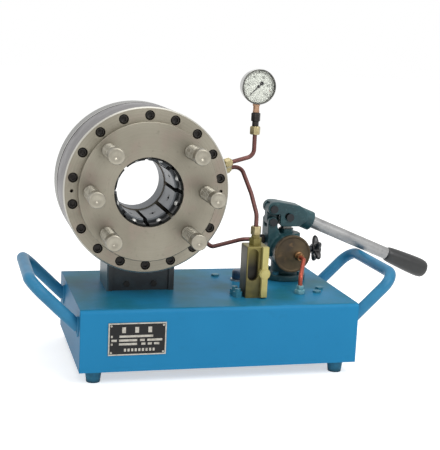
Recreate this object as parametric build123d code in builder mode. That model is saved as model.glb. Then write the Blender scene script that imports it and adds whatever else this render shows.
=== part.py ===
from build123d import *
import os
from math import atan2, cos, degrees, pi, radians, sin, sqrt, tan

# Hand-pumped hose crimping machine: a ring-shaped hydraulic head on an oil tank, with a lever pump,
# a release valve and a pressure gauge. Millimetres. The origin is the centre of the head's front
# mouth, +X to the operator's right, +Y into the machine along the hose, +Z up.

os.makedirs("parts", exist_ok=True)

# ---- driving dimensions -------------------------------------------------------------------------
# clearances
slide_gap = 0.3          # between faces that slide past each other and aren't a fit
running_gap = 0.05       # radial, shaft in bore
seat_gap = 0.2           # radial, between a ring and the cradle that carries it

# oil tank
tank_length = 500.0
tank_depth = 295.0
tank_height = 109.0
tank_wall = 3.0
tank_bend = 8.0
head_clearance = 42.0    # between the tank top and the head's rim
axis_from_left = 125.0   # crimp axis from the tank's left end
mouth_from_front = 72.0  # head mouth behind the tank's front
floor_wall = 4.0
floor_bend = 6.0
foot_height = 24.0
foot_top_radius = 15.0
foot_base_radius = 12.0
foot_inset = 28.0
screw_plug_offsets = ((-133.0, 155.0), (25.0, 12.0), (40.0, 40.0))  # X from the plunger's axis, Y
tank_screw_head = 4.0
base_nut_radius = 9.0
base_nut_height = 10.0
foot_screw_radius = 3.0
foot_screw_head = 4.0
foot_screw_hold = 6.0     # thread above the tank's floor
drain_inset = 60.0
drain_hex = 12.0
drain_head = 6.0

# carrying handles
handle_radius = 10.5
handle_reach = 80.0      # rail beyond the tank's end
handle_span = 215.0      # between the two legs
handle_front = 28.0      # front leg behind the tank's front
handle_foot_drop = 35.0  # leg's foot below the tank top
handle_rail_rise = 44.0  # rail above the tank top
handle_bend = 32.0

# nameplate on the tank's front
plate_width = 100.0
plate_height = 57.0
plate_thickness = 1.2
plate_x = -27.0
plate_drop = 51.0        # plate's centre below the tank top
rivet_radius = 2.0
rivet_inset = 5.0

# crimping head, distances along Y from the mouth
barrel_wall = 27.0       # outside the piston's bore
face_margin = 10.0       # raised face inside the screw circle
face_rise = 16.0
mouth_radius = 61.5
mouth_lip = 6.0
cover_back = 54.0
hub_length = 90.0
hub_inner_radius = 76.0
hub_radius = 84.0
barrel_back = 118.0
rim_groove_width = 6.0
rim_groove_depth = 7.0
head_back = 166.0
bore_radius = 120.0      # piston's bore
pocket_back = 144.0
sleeve_radius = 50.0     # hose passage through the rear cover
stop_radius = 83.0       # ring on the rear cover that backs up the dies
rim_chamfer = 2.5

# fasteners of the head
screw_edge = 14.5        # screw circle inside the rim
front_screw_count = 18
rear_screw_count = 9
screw_radius = 5.0
screw_head_radius = 8.0
screw_head_height = 10.0
screw_thread_length = 18.0
counterbore_radius = 8.7
counterbore_depth = 11.5
socket_across = 8.0
jack_hole_radius = 3.0
jack_hole_depth = 20.0

# piston
piston_front = 58.0
piston_land = 28.0
skirt_radius = 110.0
piston_stroke = 20.0
seal_width = 6.0
seal_depth = 5.0

# dies
die_count = 8
die_travel = 8.0
die_gap = 7.0
die_radius = 52.0        # gripping face when open
shoulder_radius = 57.5
shoulder_back = 30.0
detent_radius = 4.2
detent_y = 20.6
die_slot_length = 13.0
die_slot_width = 3.5
die_slot_depth = 3.0
die_slot_y = 66.0
nose_notch = 6.0
nose_notch_depth = 3.0

# return bolts and springs in front of the head
return_angles = (0, 45, 135, 180, 225, 315)
return_shank_radius = 8.0
return_head_radius = 14.0
return_head_length = 20.0
return_reach = 84.0      # head's face in front of the mouth
return_thread = 18.0
spring_radius = 11.2
spring_wire = 1.9
spring_pitch = 8.0

# saddle under the head
saddle_width = 123.4
saddle_front = 55.0
saddle_back = 140.0
cheek_thickness = 10.0
saddle_foot = 24.0
web_thickness = 10.0
web_recess = 4.0
saddle_bolt_radius = 5.0
saddle_bolt_head = 8.5
saddle_bolt_head_height = 6.5
saddle_bolt_inset = 14.0  # inside the cheeks
saddle_bolt_back = 24.5   # last bolt in front of the saddle's back
saddle_bolt_pitch = 24.0
saddle_top_share = 0.8    # of the head's radius, where the cheeks end
web_bolt_radius = 3.0
web_bolt_head = 6.0
web_bolt_pitch = 50.0

# pipes and fittings
pipe_radius = 4.0
pipe_bore_radius = 2.5
nut_radius = 10.0
nut_length = 15.0
port_stub = 9.0
port_thread_radius = 7.5
port_thread_depth = 11.0
gauge_port_angle = 16.0
gauge_port_y = 64.0
supply_port_angle = 11.5
supply_port_y = 82.0
supply_run = 34.0
supply_bend_back = 40.0
supply_bend_z = -8.0
supply_drop_z = -40.0
pressure_port_angle = -40.0
pressure_port_y = 96.0
pressure_run = 28.0
pressure_lead = 30.0     # straight into the pump's fitting
return_fitting_height = 16.0
return_hex_height = 8.0

# pressure gauge
gauge_reach = 58.0       # right of the head's rim
gauge_y = 64.0
gauge_z = 185.0
gauge_radius = 32.0
gauge_case_depth = 26.0
gauge_rim = 3.0
gauge_stem_radius = 6.0
adapter_radius = 8.5
gauge_stem_end = 138.0
adapter_end = 122.0
gauge_neck_end = 113.0
gauge_nut_end = 98.0

# valve block
valve_reach = 51.0       # right of the head's rim
valve_y = 5.0
valve_width = 40.0
valve_depth = 41.0
valve_height = 94.0
connector_hex = 13.0
connector_neck = 6.0
valve_recess_width = 19.0
valve_recess_length = 58.0
valve_recess_left = 8.0  # recess's axis left of the block's
valve_recess_top = 4.0   # below the block's top
valve_recess_depth = 12.0
valve_handle_offset = 12.0
valve_handle_rise = 46.0
valve_bar_width = 11.0
valve_bar_thickness = 8.0
valve_bar_upper = 49.0
valve_bar_lower = 43.0
valve_boss_radius = 10.0
valve_spindle_radius = 4.0

# hand pump
pump_from_right = 75.0   # plunger axis to the tank's right end
pump_y = 135.0
pump_base_radius = 42.0
pump_base_height = 12.0
tower_radius = 26.0
tower_height = 91.0      # this and the pump's other heights are above the tank top
collar_radius = 28.5     # round the tower's top
collar_height = 9.0
gland_radius = 15.5
gland_height = 8.0
side_boss_radius = 11.0
side_boss_rise = 18.0
side_port_drop = 14.0
side_fitting_length = 14.0
plunger_radius = 11.0
plunger_low_height = 31.0
chamber_offset = 2.0     # chamber's axis left of the plunger's
chamber_height = 58.0
chamber_radius = 33.0
chamber_front = 90.0
chamber_back = 165.0
disc_radius = 36.0
disc_thickness = 9.0
elbow_offset_x = 12.0
elbow_offset_z = 4.0
elbow_boss_radius = 9.0
elbow_length = 14.0
return_offset = 10.0     # return fitting left of the plunger's axis
return_y = 8.0
pump_bolt_radius = 3.5
pump_bolt_circle = 35.0
pump_bolt_head = 6.3
pump_bolt_head_height = 5.0

# lever
fulcrum_reach = 33.0     # left of the plunger's axis
fulcrum_height = 139.0
rocker_height = 114.0    # rocker's lower pin
rocker_radius = 9.5
link_height = 123.0
plunger_travel = 34.4
pin_radius = 5.0
pin_head_radius = 7.5
pin_head_height = 4.0
ear_radius = 9.5
ear_root = 45.0
ear_slope = 6.0          # ear's right side widens into the tower
tongue_thickness = 16.0
tongue_drop = 34.0      # flats on the plunger, below its pin
lever_width = 40.0
lever_boss_radius = 11.0
lever_skirt = 34.0       # cheeks' lower edge below the fulcrum
lever_crown = 14.0       # top above the fulcrum
slot_margin = 0.8
lever_angle = 22.0       # below the horizontal at the lower stop
lever_lift = 55.0
socket_reach = 34.0      # tube's mouth right of the plunger's axis
socket_height = 118.5
socket_radius = 19.0
socket_length = 17.0
lever_tube_radius = 12.0
lever_tube_bore = 9.5
lever_tube_length = 300.0
lever_insert = 30.0
grip_radius = 18.0
grip_length = 96.0

# release knob
knob_y = 127.0
knob_radius = 27.0
knob_lobes = 6
knob_lobe_radius = 8.0
knob_reach = 52.0        # knob's near face, right of the plunger's axis
knob_thickness = 18.0
release_boss_reach = 38.0
release_boss_radius = 13.0
release_spindle_radius = 6.0

# suction strainer under the pump
strainer_neck = 43.0
strainer_length = 45.0
strainer_radius = 20.0
strainer_wall = 3.0

# filler
filler_reach = 97.0      # left of the plunger's axis
filler_y = 118.0
filler_radius = 9.0
filler_wall = 2.5
filler_flange = 3.0
filler_neck_height = 10.0
filler_cap_radius = 12.0
filler_cap_height = 17.0

# ---- places worked out from the driving dimensions ------------------------------------------------
head_radius = bore_radius + barrel_wall
screw_circle_radius = head_radius - screw_edge
face_radius = screw_circle_radius - face_margin
return_circle_radius = (hub_radius + bore_radius) / 2
axis_height = head_radius + head_clearance
tank_top = -axis_height
tank_bottom_z = tank_top - tank_height
tank_left = -axis_from_left
tank_right = tank_left + tank_length
tank_front = -mouth_from_front
tank_back = tank_front + tank_depth
tank_x = (tank_left + tank_right) / 2
tank_y = (tank_front + tank_back) / 2
pump_x = tank_right - pump_from_right
chamber_x = pump_x - chamber_offset
fulcrum_x = pump_x - fulcrum_reach
link_x = pump_x
gauge_x = head_radius + gauge_reach
valve_x = head_radius + valve_reach
valve_handle_x = valve_x + valve_handle_offset
tower_top = tank_top + tower_height
plunger_low_end = tank_top + plunger_low_height
chamber_z = tank_top + chamber_height
fulcrum_z = tank_top + fulcrum_height
rocker_z = tank_top + rocker_height
link_z = tank_top + link_height
socket_z = tank_top + socket_height
socket_x = pump_x + socket_reach
knob_start = pump_x + knob_reach
release_boss_end = pump_x + release_boss_reach
filler_x = pump_x - filler_reach
cone_slope = die_travel / piston_stroke
cone_start = hub_length + slide_gap
cone_radius = hub_radius + 2.0
die_back = barrel_back + 1.7
stop_front = die_back + slide_gap
skirt_back = barrel_back
spring_front = -return_reach + return_head_length


def facing_front(x, y, z):
    """Plane across the Y axis, looking at the operator; a negative extrusion goes into the machine."""
    return Plane(origin=(x, y, z), x_dir=(1, 0, 0), z_dir=(0, -1, 0))


def facing_right(x, y, z):
    """Plane across the X axis, looking to the operator's right."""
    return Plane(origin=(x, y, z), x_dir=(0, 1, 0), z_dir=(1, 0, 0))


def section(plane, points):
    """Closed face through the points, drawn on the plane."""
    with BuildSketch(plane) as face:
        with BuildLine():
            Polyline(*points, close=True)
        make_face()
    return face.sketch


def on_rim(angle, radius, y):
    """Point at an angle above +X round the crimp axis."""
    return (radius * cos(radians(angle)), y, radius * sin(radians(angle)))


def radial_plane(angle, radius, y):
    """Plane across a radius of the head, facing outwards."""
    direction = (cos(radians(angle)), 0, sin(radians(angle)))
    return Plane(origin=on_rim(angle, radius, y), x_dir=(0, 1, 0), z_dir=direction)


def write(builder, name):
    """Labels the piece and writes its STEP file."""
    builder.part.label = name
    export_step(builder.part, f"parts/{name}.step")


# ---- oil tank -------------------------------------------------------------------------------------
foot_xs = (tank_left + foot_inset, tank_right - foot_inset)
foot_ys = (tank_front + foot_inset, tank_back - foot_inset)
foot_places = [(x, y) for x in foot_xs for y in foot_ys]
drain_place = (tank_right - drain_inset, tank_y)
saddle_bolt_x = saddle_width / 2 - cheek_thickness - saddle_bolt_inset
saddle_bolt_y = (saddle_back - saddle_bolt_back, saddle_back - saddle_bolt_back - saddle_bolt_pitch)
saddle_bolt_places = [(x, y) for x in (-saddle_bolt_x, saddle_bolt_x) for y in saddle_bolt_y]
screw_plug_places = [(pump_x + x, y) for x, y in screw_plug_offsets]
return_fitting = (pump_x - return_offset, return_y)
strainer_place = (pump_x, pump_y)
base_nut_x = valve_x - valve_width / 2 - base_nut_radius - 2
base_nut_places = [(base_nut_x, valve_y - base_nut_radius), (base_nut_x, valve_y + base_nut_radius + 2)]

with BuildPart() as tank_shell:
    for inset, mode in ((0, Mode.ADD), (tank_wall, Mode.SUBTRACT)):
        with BuildSketch(facing_right(tank_left + inset, tank_y, tank_bottom_z)) as end_profile:
            with Locations((0, (tank_height - inset) / 2)):
                Rectangle(tank_depth - 2 * inset, tank_height - inset)
            fillet(end_profile.vertices().group_by(Axis.Y)[-1], radius=tank_bend - inset)
        extrude(amount=tank_length - 2 * inset, mode=mode)
    with BuildSketch(Plane.XY.offset(tank_top)):
        with Locations(*saddle_bolt_places):
            Circle(saddle_bolt_radius)
        with Locations((filler_x, filler_y)):
            Circle(filler_radius)
        with Locations(strainer_place):
            Circle(filler_radius)
        with Locations(return_fitting, *screw_plug_places):
            Circle(screw_radius)
    extrude(amount=-2 * tank_wall, mode=Mode.SUBTRACT)
write(tank_shell, "tank_shell")

with BuildPart() as tank_bottom:
    with BuildSketch(Plane.XY.offset(tank_bottom_z)):
        with Locations((tank_x, tank_y)):
            Rectangle(tank_length - 2 * tank_wall, tank_depth - 2 * tank_wall)
    extrude(amount=floor_wall)
    with BuildSketch(Plane.XY.offset(tank_bottom_z)):
        with Locations(*foot_places):
            Circle(foot_screw_radius)
        with Locations(drain_place):
            Circle(filler_radius)
    extrude(amount=floor_wall, mode=Mode.SUBTRACT)
write(tank_bottom, "tank_bottom")

with BuildPart() as drain_plug:
    with BuildSketch(Plane.XY.offset(tank_bottom_z)):
        with Locations(drain_place):
            RegularPolygon(drain_hex, 6)
    extrude(amount=-drain_head)
    with BuildSketch(Plane.XY.offset(tank_bottom_z)):
        with Locations(drain_place):
            Circle(filler_radius)
    extrude(amount=2 * floor_wall)
write(drain_plug, "drain_plug")

with BuildPart() as tank_feet:
    with BuildSketch(Plane.XY.offset(tank_bottom_z - foot_height)):
        with Locations(*foot_places):
            Circle(foot_base_radius)
    foot_taper = degrees(atan2(foot_top_radius - foot_base_radius, foot_height))
    extrude(amount=foot_height, taper=-foot_taper)
    with BuildSketch(Plane.XY.offset(tank_bottom_z - foot_height)):
        with Locations(*foot_places):
            Circle(foot_screw_radius)
    extrude(amount=foot_height, mode=Mode.SUBTRACT)
    with BuildSketch(Plane.XY.offset(tank_bottom_z - foot_height)):
        with Locations(*foot_places):
            Circle(2 * foot_screw_radius)
    extrude(amount=foot_height / 2, mode=Mode.SUBTRACT)
write(tank_feet, "tank_feet")

with BuildPart() as foot_screws:
    with BuildSketch(Plane.XY.offset(tank_bottom_z - foot_height / 2 - foot_screw_head)):
        with Locations(*foot_places):
            Circle(2 * foot_screw_radius - slide_gap)
    extrude(amount=foot_screw_head)
    with BuildSketch(Plane.XY.offset(tank_bottom_z - foot_height / 2)):
        with Locations(*foot_places):
            Circle(foot_screw_radius)
    extrude(amount=foot_height / 2 + floor_wall + foot_screw_hold)
write(foot_screws, "foot_screws")


def handle(side_x, side):
    """Bent tube welded to one end of the tank; side is -1 on the left and 1 on the right."""
    front_y = tank_front + handle_front
    back_y = front_y + handle_span
    rail_x = side_x + side * handle_reach
    foot_z = tank_top - handle_foot_drop
    rail_z = tank_top + handle_rail_rise
    with BuildPart() as tube:
        with BuildLine() as route:
            FilletPolyline(
                (side_x, front_y, foot_z),
                (rail_x, front_y, rail_z),
                (rail_x, back_y, rail_z),
                (side_x, back_y, foot_z),
                radius=handle_bend,
            )
        with BuildSketch(Plane(origin=route.line @ 0, z_dir=route.line % 0)):
            Circle(handle_radius)
        sweep(path=route.line)
        end = Plane(origin=(side_x, 0, 0), x_dir=(0, 1, 0), z_dir=(side, 0, 0))
        split(bisect_by=end, keep=Keep.TOP)
    return tube


left_handle = handle(tank_left, -1)
write(left_handle, "left_handle")
right_handle = handle(tank_right, 1)
write(right_handle, "right_handle")

plate_z = tank_top - plate_drop
plate_plane = facing_front(plate_x, tank_front, plate_z)
rivet_places = GridLocations(plate_width - 2 * rivet_inset, plate_height - 2 * rivet_inset, 2, 2)

with BuildPart() as nameplate:
    with BuildSketch(plate_plane):
        RectangleRounded(plate_width, plate_height, 2)
        with rivet_places:
            Circle(rivet_radius / 2, mode=Mode.SUBTRACT)
    extrude(amount=plate_thickness)
write(nameplate, "nameplate")

with BuildPart() as nameplate_rivets:
    with BuildSketch(plate_plane.offset(plate_thickness)):
        with rivet_places:
            Circle(rivet_radius)
    extrude(amount=1, taper=20)
    with BuildSketch(plate_plane.offset(plate_thickness)):
        with rivet_places:
            Circle(rivet_radius / 2)
    extrude(amount=-plate_thickness)
write(nameplate_rivets, "nameplate_rivets")

with BuildPart() as filler_neck:
    with BuildSketch(Plane.XY.offset(tank_top)):
        with Locations((filler_x, filler_y)):
            Circle(filler_cap_radius + filler_flange)
    extrude(amount=filler_flange)
    with BuildSketch(Plane.XY.offset(tank_top + filler_neck_height)):
        with Locations((filler_x, filler_y)):
            Circle(filler_radius)
            Circle(filler_radius - filler_wall, mode=Mode.SUBTRACT)
    extrude(amount=-2 * filler_neck_height - tank_wall)
    with BuildSketch(Plane.XY.offset(tank_top)):
        with Locations((filler_x, filler_y)):
            Circle(filler_radius - filler_wall)
    extrude(amount=filler_flange, mode=Mode.SUBTRACT)
write(filler_neck, "filler_neck")

with BuildPart() as filler_cap:
    with BuildSketch(Plane.XY.offset(tank_top + filler_flange + slide_gap)):
        with Locations((filler_x, filler_y)):
            Circle(filler_cap_radius)
    extrude(amount=filler_cap_height)
    chamfer(filler_cap.edges().group_by(Axis.Z)[-1], length=1.5)
    with BuildSketch(Plane.XY.offset(tank_top + filler_flange + slide_gap)):
        with Locations((filler_x, filler_y)):
            Circle(filler_radius + slide_gap)
    extrude(amount=filler_neck_height, mode=Mode.SUBTRACT)
write(filler_cap, "filler_cap")

with BuildPart() as suction_strainer:
    strainer_top = Plane.XY.offset(tank_top + tank_wall)
    with BuildSketch(strainer_top):
        with Locations(strainer_place):
            Circle(filler_radius)
    extrude(amount=-tank_wall - strainer_neck - strainer_wall)
    with BuildSketch(Plane.XY.offset(tank_top - strainer_neck)):
        with Locations(strainer_place):
            Circle(strainer_radius)
    extrude(amount=-strainer_length)
    with BuildSketch(strainer_top):
        with Locations(strainer_place):
            Circle(filler_radius - strainer_wall)
    extrude(amount=-strainer_neck - strainer_length, mode=Mode.SUBTRACT)
write(suction_strainer, "suction_strainer")

with BuildPart() as tank_screws:
    with BuildSketch(Plane.XY.offset(tank_top)):
        with Locations(*screw_plug_places):
            RegularPolygon(screw_head_radius, 6)
    extrude(amount=tank_screw_head)
    with BuildSketch(Plane.XY.offset(tank_top)):
        with Locations(*screw_plug_places):
            Circle(screw_radius)
    extrude(amount=-tank_wall - tank_screw_head)
    for nut_place in base_nut_places:
        with BuildSketch(Plane.XY.offset(tank_top)):
            with Locations(nut_place):
                RegularPolygon(base_nut_radius, 6)
        extrude(amount=base_nut_height)
        with BuildSketch(Plane.XY.offset(tank_top + base_nut_height)):
            with Locations(nut_place):
                Circle(screw_radius)
        extrude(amount=screw_radius)
write(tank_screws, "tank_screws")

# ---- saddle that carries the head -----------------------------------------------------------------
saddle_half = saddle_width / 2
web_front = saddle_front + web_recess
saddle_reach = head_radius * saddle_top_share
web_bolt_z = tank_top + saddle_foot / 2
web_bolt_places = [(-web_bolt_pitch / 2, web_bolt_z), (web_bolt_pitch / 2, web_bolt_z)]

with BuildPart() as head_saddle:
    with BuildSketch(facing_front(0, saddle_front, 0)):
        with Locations((0, (tank_top - saddle_reach) / 2)):
            Rectangle(saddle_width, axis_height - saddle_reach)
        Circle(head_radius + seat_gap, mode=Mode.SUBTRACT)
    extrude(amount=saddle_front - saddle_back)
    inner_width = saddle_width - 2 * cheek_thickness
    with BuildSketch(Plane.XY.offset(tank_top + saddle_foot)):
        with Locations((0, (web_front + web_thickness + saddle_back - web_thickness) / 2)):
            Rectangle(inner_width, saddle_back - web_front - 2 * web_thickness)
    extrude(amount=axis_height, mode=Mode.SUBTRACT)
    with BuildSketch(Plane.XY.offset(tank_top)):
        with Locations((0, saddle_front)):
            Rectangle(inner_width, 2 * web_recess)
    extrude(amount=axis_height, mode=Mode.SUBTRACT)
    with BuildSketch(Plane.XY.offset(tank_top)):
        with Locations(*saddle_bolt_places):
            Circle(saddle_bolt_radius)
    extrude(amount=saddle_foot, mode=Mode.SUBTRACT)
    with BuildSketch(facing_front(0, web_front, 0)):
        with Locations(*web_bolt_places):
            Circle(web_bolt_radius)
    extrude(amount=-saddle_foot, mode=Mode.SUBTRACT)
write(head_saddle, "head_saddle")

with BuildPart() as saddle_bolts:
    with BuildSketch(Plane.XY.offset(tank_top + saddle_foot)):
        with Locations(*saddle_bolt_places):
            RegularPolygon(saddle_bolt_head, 6)
    extrude(amount=saddle_bolt_head_height)
    with BuildSketch(Plane.XY.offset(tank_top + saddle_foot)):
        with Locations(*saddle_bolt_places):
            Circle(saddle_bolt_radius)
    extrude(amount=-saddle_foot - tank_wall - 10)
    with BuildSketch(Plane.XY.offset(tank_top - tank_wall)):
        with Locations(*saddle_bolt_places):
            RegularPolygon(saddle_bolt_head, 6)
    extrude(amount=-saddle_bolt_head_height)
    with BuildSketch(facing_front(0, web_front, 0)):
        with Locations(*web_bolt_places):
            RegularPolygon(web_bolt_head, 6)
    extrude(amount=web_bolt_radius)
    with BuildSketch(facing_front(0, web_front, 0)):
        with Locations(*web_bolt_places):
            Circle(web_bolt_radius)
    extrude(amount=-saddle_foot)
write(saddle_bolts, "saddle_bolts")

# ---- crimping head --------------------------------------------------------------------------------
cover_profile = [
    (0, mouth_radius),
    (0, face_radius - 1),
    (1, face_radius),
    (face_rise, face_radius),
    (face_rise, head_radius - rim_chamfer),
    (face_rise + rim_chamfer, head_radius),
    (cover_back, head_radius),
    (cover_back, hub_radius),
    (hub_length, hub_radius),
    (hub_length, hub_inner_radius),
    (mouth_lip, hub_inner_radius),
    (mouth_lip, mouth_radius),
]

with BuildPart() as front_cover:
    revolve(section(Plane.YZ, cover_profile), axis=Axis.Y)
    with Locations(facing_front(0, face_rise, 0)):
        with PolarLocations(screw_circle_radius, front_screw_count, start_angle=90):
            CounterBoreHole(screw_radius, counterbore_radius, counterbore_depth, cover_back - face_rise)
        with PolarLocations(screw_circle_radius, 2):
            Hole(jack_hole_radius, jack_hole_depth)
    with BuildSketch(facing_front(0, 0, 0)):
        for angle in return_angles:
            with PolarLocations(return_circle_radius, 1, start_angle=angle):
                Circle(return_shank_radius + running_gap)
    extrude(amount=-cover_back, mode=Mode.SUBTRACT)
write(front_cover, "front_cover")

ports = (
    (gauge_port_angle, gauge_port_y),
    (supply_port_angle, supply_port_y),
    (pressure_port_angle, pressure_port_y),
)
barrel_profile = [
    (cover_back, bore_radius),
    (cover_back, head_radius),
    (barrel_back - rim_groove_width, head_radius),
    (barrel_back - rim_groove_width, head_radius - rim_groove_depth),
    (barrel_back, head_radius - rim_groove_depth),
    (barrel_back, bore_radius),
]

with BuildPart() as cylinder_barrel:
    revolve(section(Plane.YZ, barrel_profile), axis=Axis.Y)
    with BuildSketch(facing_front(0, cover_back, 0)):
        with PolarLocations(screw_circle_radius, front_screw_count, start_angle=90):
            Circle(screw_radius)
    front_thread = screw_thread_length
    extrude(amount=-front_thread, mode=Mode.SUBTRACT)
    with BuildSketch(facing_front(0, barrel_back, 0)):
        with PolarLocations(screw_circle_radius, rear_screw_count, start_angle=90):
            Circle(screw_radius)
    extrude(amount=screw_thread_length, mode=Mode.SUBTRACT)
    for port_angle, port_y in ports:
        with BuildSketch(radial_plane(port_angle, head_radius + 5, port_y)):
            Circle(pipe_radius)
        extrude(amount=bore_radius - head_radius - 10, mode=Mode.SUBTRACT)
        with BuildSketch(radial_plane(port_angle, head_radius + 5, port_y)):
            Circle(port_thread_radius)
        extrude(amount=-port_thread_depth - 5, mode=Mode.SUBTRACT)
write(cylinder_barrel, "cylinder_barrel")

rear_profile = [
    (stop_front, sleeve_radius),
    (stop_front, stop_radius),
    (pocket_back, stop_radius),
    (pocket_back, bore_radius),
    (barrel_back, bore_radius),
    (barrel_back, head_radius),
    (head_back - rim_chamfer, head_radius),
    (head_back, head_radius - rim_chamfer),
    (head_back, sleeve_radius),
]

with BuildPart() as rear_cover:
    revolve(section(Plane.YZ, rear_profile), axis=Axis.Y)
    back_plane = Plane(origin=(0, head_back, 0), x_dir=(-1, 0, 0), z_dir=(0, 1, 0))
    with Locations(back_plane):
        with PolarLocations(screw_circle_radius, rear_screw_count, start_angle=90):
            CounterBoreHole(screw_radius, counterbore_radius, counterbore_depth, head_back - barrel_back)
write(rear_cover, "rear_cover")


def cap_screws(head_plane, count, grip):
    """Ring of socket-head cap screws; the plane lies under the heads and faces away from the thread."""
    with BuildPart() as screws:
        with BuildSketch(head_plane):
            with PolarLocations(screw_circle_radius, count, start_angle=90):
                Circle(screw_head_radius)
                RegularPolygon(socket_across / 2, 6, major_radius=False, mode=Mode.SUBTRACT)
        extrude(amount=screw_head_height)
        with BuildSketch(head_plane):
            with PolarLocations(screw_circle_radius, count, start_angle=90):
                Circle(screw_head_radius)
        extrude(amount=screw_head_height / 2)
        with BuildSketch(head_plane):
            with PolarLocations(screw_circle_radius, count, start_angle=90):
                Circle(screw_radius)
        extrude(amount=-grip - screw_thread_length + 2)
    return screws


front_seat = face_rise + counterbore_depth
cover_screws = cap_screws(facing_front(0, front_seat, 0), front_screw_count, cover_back - front_seat)
write(cover_screws, "cover_screws")
rear_seat = head_back - counterbore_depth
rear_seat_plane = back_plane.offset(-counterbore_depth)
rear_grip = rear_seat - barrel_back
rear_cover_screws = cap_screws(rear_seat_plane, rear_screw_count, rear_grip)
write(rear_cover_screws, "rear_cover_screws")

# ---- piston and its return bolts ------------------------------------------------------------------
land_back = piston_front + piston_land
piston_radius = bore_radius - running_gap
piston_bore = hub_radius + running_gap
seal_front = piston_front + (piston_land - seal_width) / 2


def cone_at(y):
    """Radius of the closing cone at a distance behind the mouth, on the dies' side."""
    return cone_radius + (y - cone_start) * cone_slope


cone_mouth_y = cone_start - (cone_radius + slide_gap - piston_bore) / cone_slope
piston_profile = [
    (piston_front, piston_bore),
    (piston_front, piston_radius),
    (seal_front, piston_radius),
    (seal_front, piston_radius - seal_depth),
    (seal_front + seal_width, piston_radius - seal_depth),
    (seal_front + seal_width, piston_radius),
    (land_back, piston_radius),
    (land_back, skirt_radius),
    (skirt_back, skirt_radius),
    (skirt_back, cone_at(skirt_back) + slide_gap),
    (cone_mouth_y, piston_bore),
    (seal_front + seal_width, piston_bore),
    (seal_front + seal_width, piston_bore + seal_depth),
    (seal_front, piston_bore + seal_depth),
    (seal_front, piston_bore),
]

with BuildPart() as piston:
    revolve(section(Plane.YZ, piston_profile), axis=Axis.Y)
    with BuildSketch(facing_front(0, piston_front, 0)):
        for angle in return_angles:
            with PolarLocations(return_circle_radius, 1, start_angle=angle):
                Circle(return_shank_radius)
    extrude(amount=-return_thread - 2, mode=Mode.SUBTRACT)
write(piston, "piston")

with BuildPart() as piston_seals:
    for low, high in (
        (piston_radius - seal_depth, bore_radius - running_gap),
        (hub_radius + running_gap, piston_bore + seal_depth),
    ):
        seal_back = seal_front + seal_width
        ring = [(seal_front, low), (seal_front, high), (seal_back, high), (seal_back, low)]
        revolve(section(Plane.YZ, ring), axis=Axis.Y)
write(piston_seals, "piston_seals")

with BuildPart() as return_bolts:
    for angle in return_angles:
        with BuildSketch(facing_front(0, spring_front, 0)):
            with PolarLocations(return_circle_radius, 1, start_angle=angle):
                Circle(return_head_radius)
        extrude(amount=return_head_length)
    chamfer(return_bolts.edges().group_by(Axis.Y)[0], length=2)
    for angle in return_angles:
        with BuildSketch(facing_front(0, spring_front, 0)):
            with PolarLocations(return_circle_radius, 1, start_angle=angle):
                Circle(return_shank_radius)
        extrude(amount=spring_front - piston_front - return_thread)
write(return_bolts, "return_bolts")

spring_height = -spring_front - 2 * spring_wire
with BuildPart() as return_springs:
    for angle in return_angles:
        seat = on_rim(angle, return_circle_radius, -spring_wire)
        with BuildLine() as coil:
            Helix(spring_pitch, spring_height, spring_radius, center=seat, direction=(0, -1, 0))
        with BuildSketch(Plane(origin=coil.line @ 0, z_dir=coil.line % 0)):
            RegularPolygon(spring_wire, 6)
        sweep(path=coil.line, is_frenet=True)
write(return_springs, "return_springs")

# ---- dies -----------------------------------------------------------------------------------------
die_front = mouth_lip + slide_gap
die_profile = [
    (die_front, shoulder_radius),
    (die_front, hub_inner_radius - slide_gap),
    (cone_start, hub_inner_radius - slide_gap),
    (cone_start, cone_radius),
    (die_back, cone_at(die_back)),
    (die_back, die_radius),
    (shoulder_back + 2, die_radius),
    (shoulder_back, shoulder_radius - 3),
    (shoulder_back, shoulder_radius),
]

# the backs are ground to the piston's cone as it meets them with the dies closed
closed_profile = [
    (0, 0),
    (0, head_radius),
    (cone_start, head_radius),
    (cone_start, cone_radius - die_travel),
    (head_back, cone_at(head_back) - die_travel),
    (head_back, 0),
]


def die(centre_angle):
    """One closing segment, centred at an angle above +X round the crimp axis."""
    shift_x, _, shift_z = on_rim(centre_angle, die_travel, 0)
    half = 180 / die_count
    apex = die_gap / 2 / sin(radians(half))
    reach = 2 * head_radius
    corners = [(apex, 0)]
    for edge in (-half, half):
        corners.append((apex + reach * cos(radians(edge)), reach * sin(radians(edge))))
    turned = Plane(
        origin=(0, 0, 0),
        x_dir=(cos(radians(centre_angle)), 0, sin(radians(centre_angle))),
        z_dir=(0, -1, 0),
    )
    with BuildPart() as segment:
        revolve(section(Plane.YZ, die_profile), axis=Axis.Y)
        extrude(section(turned, corners), amount=-head_back, mode=Mode.INTERSECT)
        closing_plane = facing_right(shift_x, 0, shift_z)
        closing_axis = Axis(origin=(shift_x, 0, shift_z), direction=(0, 1, 0))
        revolve(section(closing_plane, closed_profile), axis=closing_axis, mode=Mode.INTERSECT)
        with Locations(on_rim(centre_angle, shoulder_radius + detent_radius / 2, detent_y)):
            Sphere(detent_radius)
        with BuildSketch(radial_plane(centre_angle, die_radius - 2, die_slot_y)):
            SlotOverall(die_slot_length, die_slot_width)
        extrude(amount=die_slot_depth + 2, mode=Mode.SUBTRACT)
        with BuildSketch(turned.offset(-die_front)):
            with Locations((shoulder_radius, 0)):
                Rectangle(2 * nose_notch_depth, nose_notch)
        extrude(amount=-nose_notch, mode=Mode.SUBTRACT)
    return segment


for die_index in range(die_count):
    die_angle = 90 - 180 / die_count - die_index * 360 / die_count
    write(die(die_angle), f"die_{die_index + 1}")

# ---- gauge ----------------------------------------------------------------------------------------
gauge_front = gauge_y - gauge_case_depth / 2
gauge_back = gauge_y + gauge_case_depth / 2
dial_y = gauge_front + 6
glass_y = gauge_front + 1.5

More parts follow.
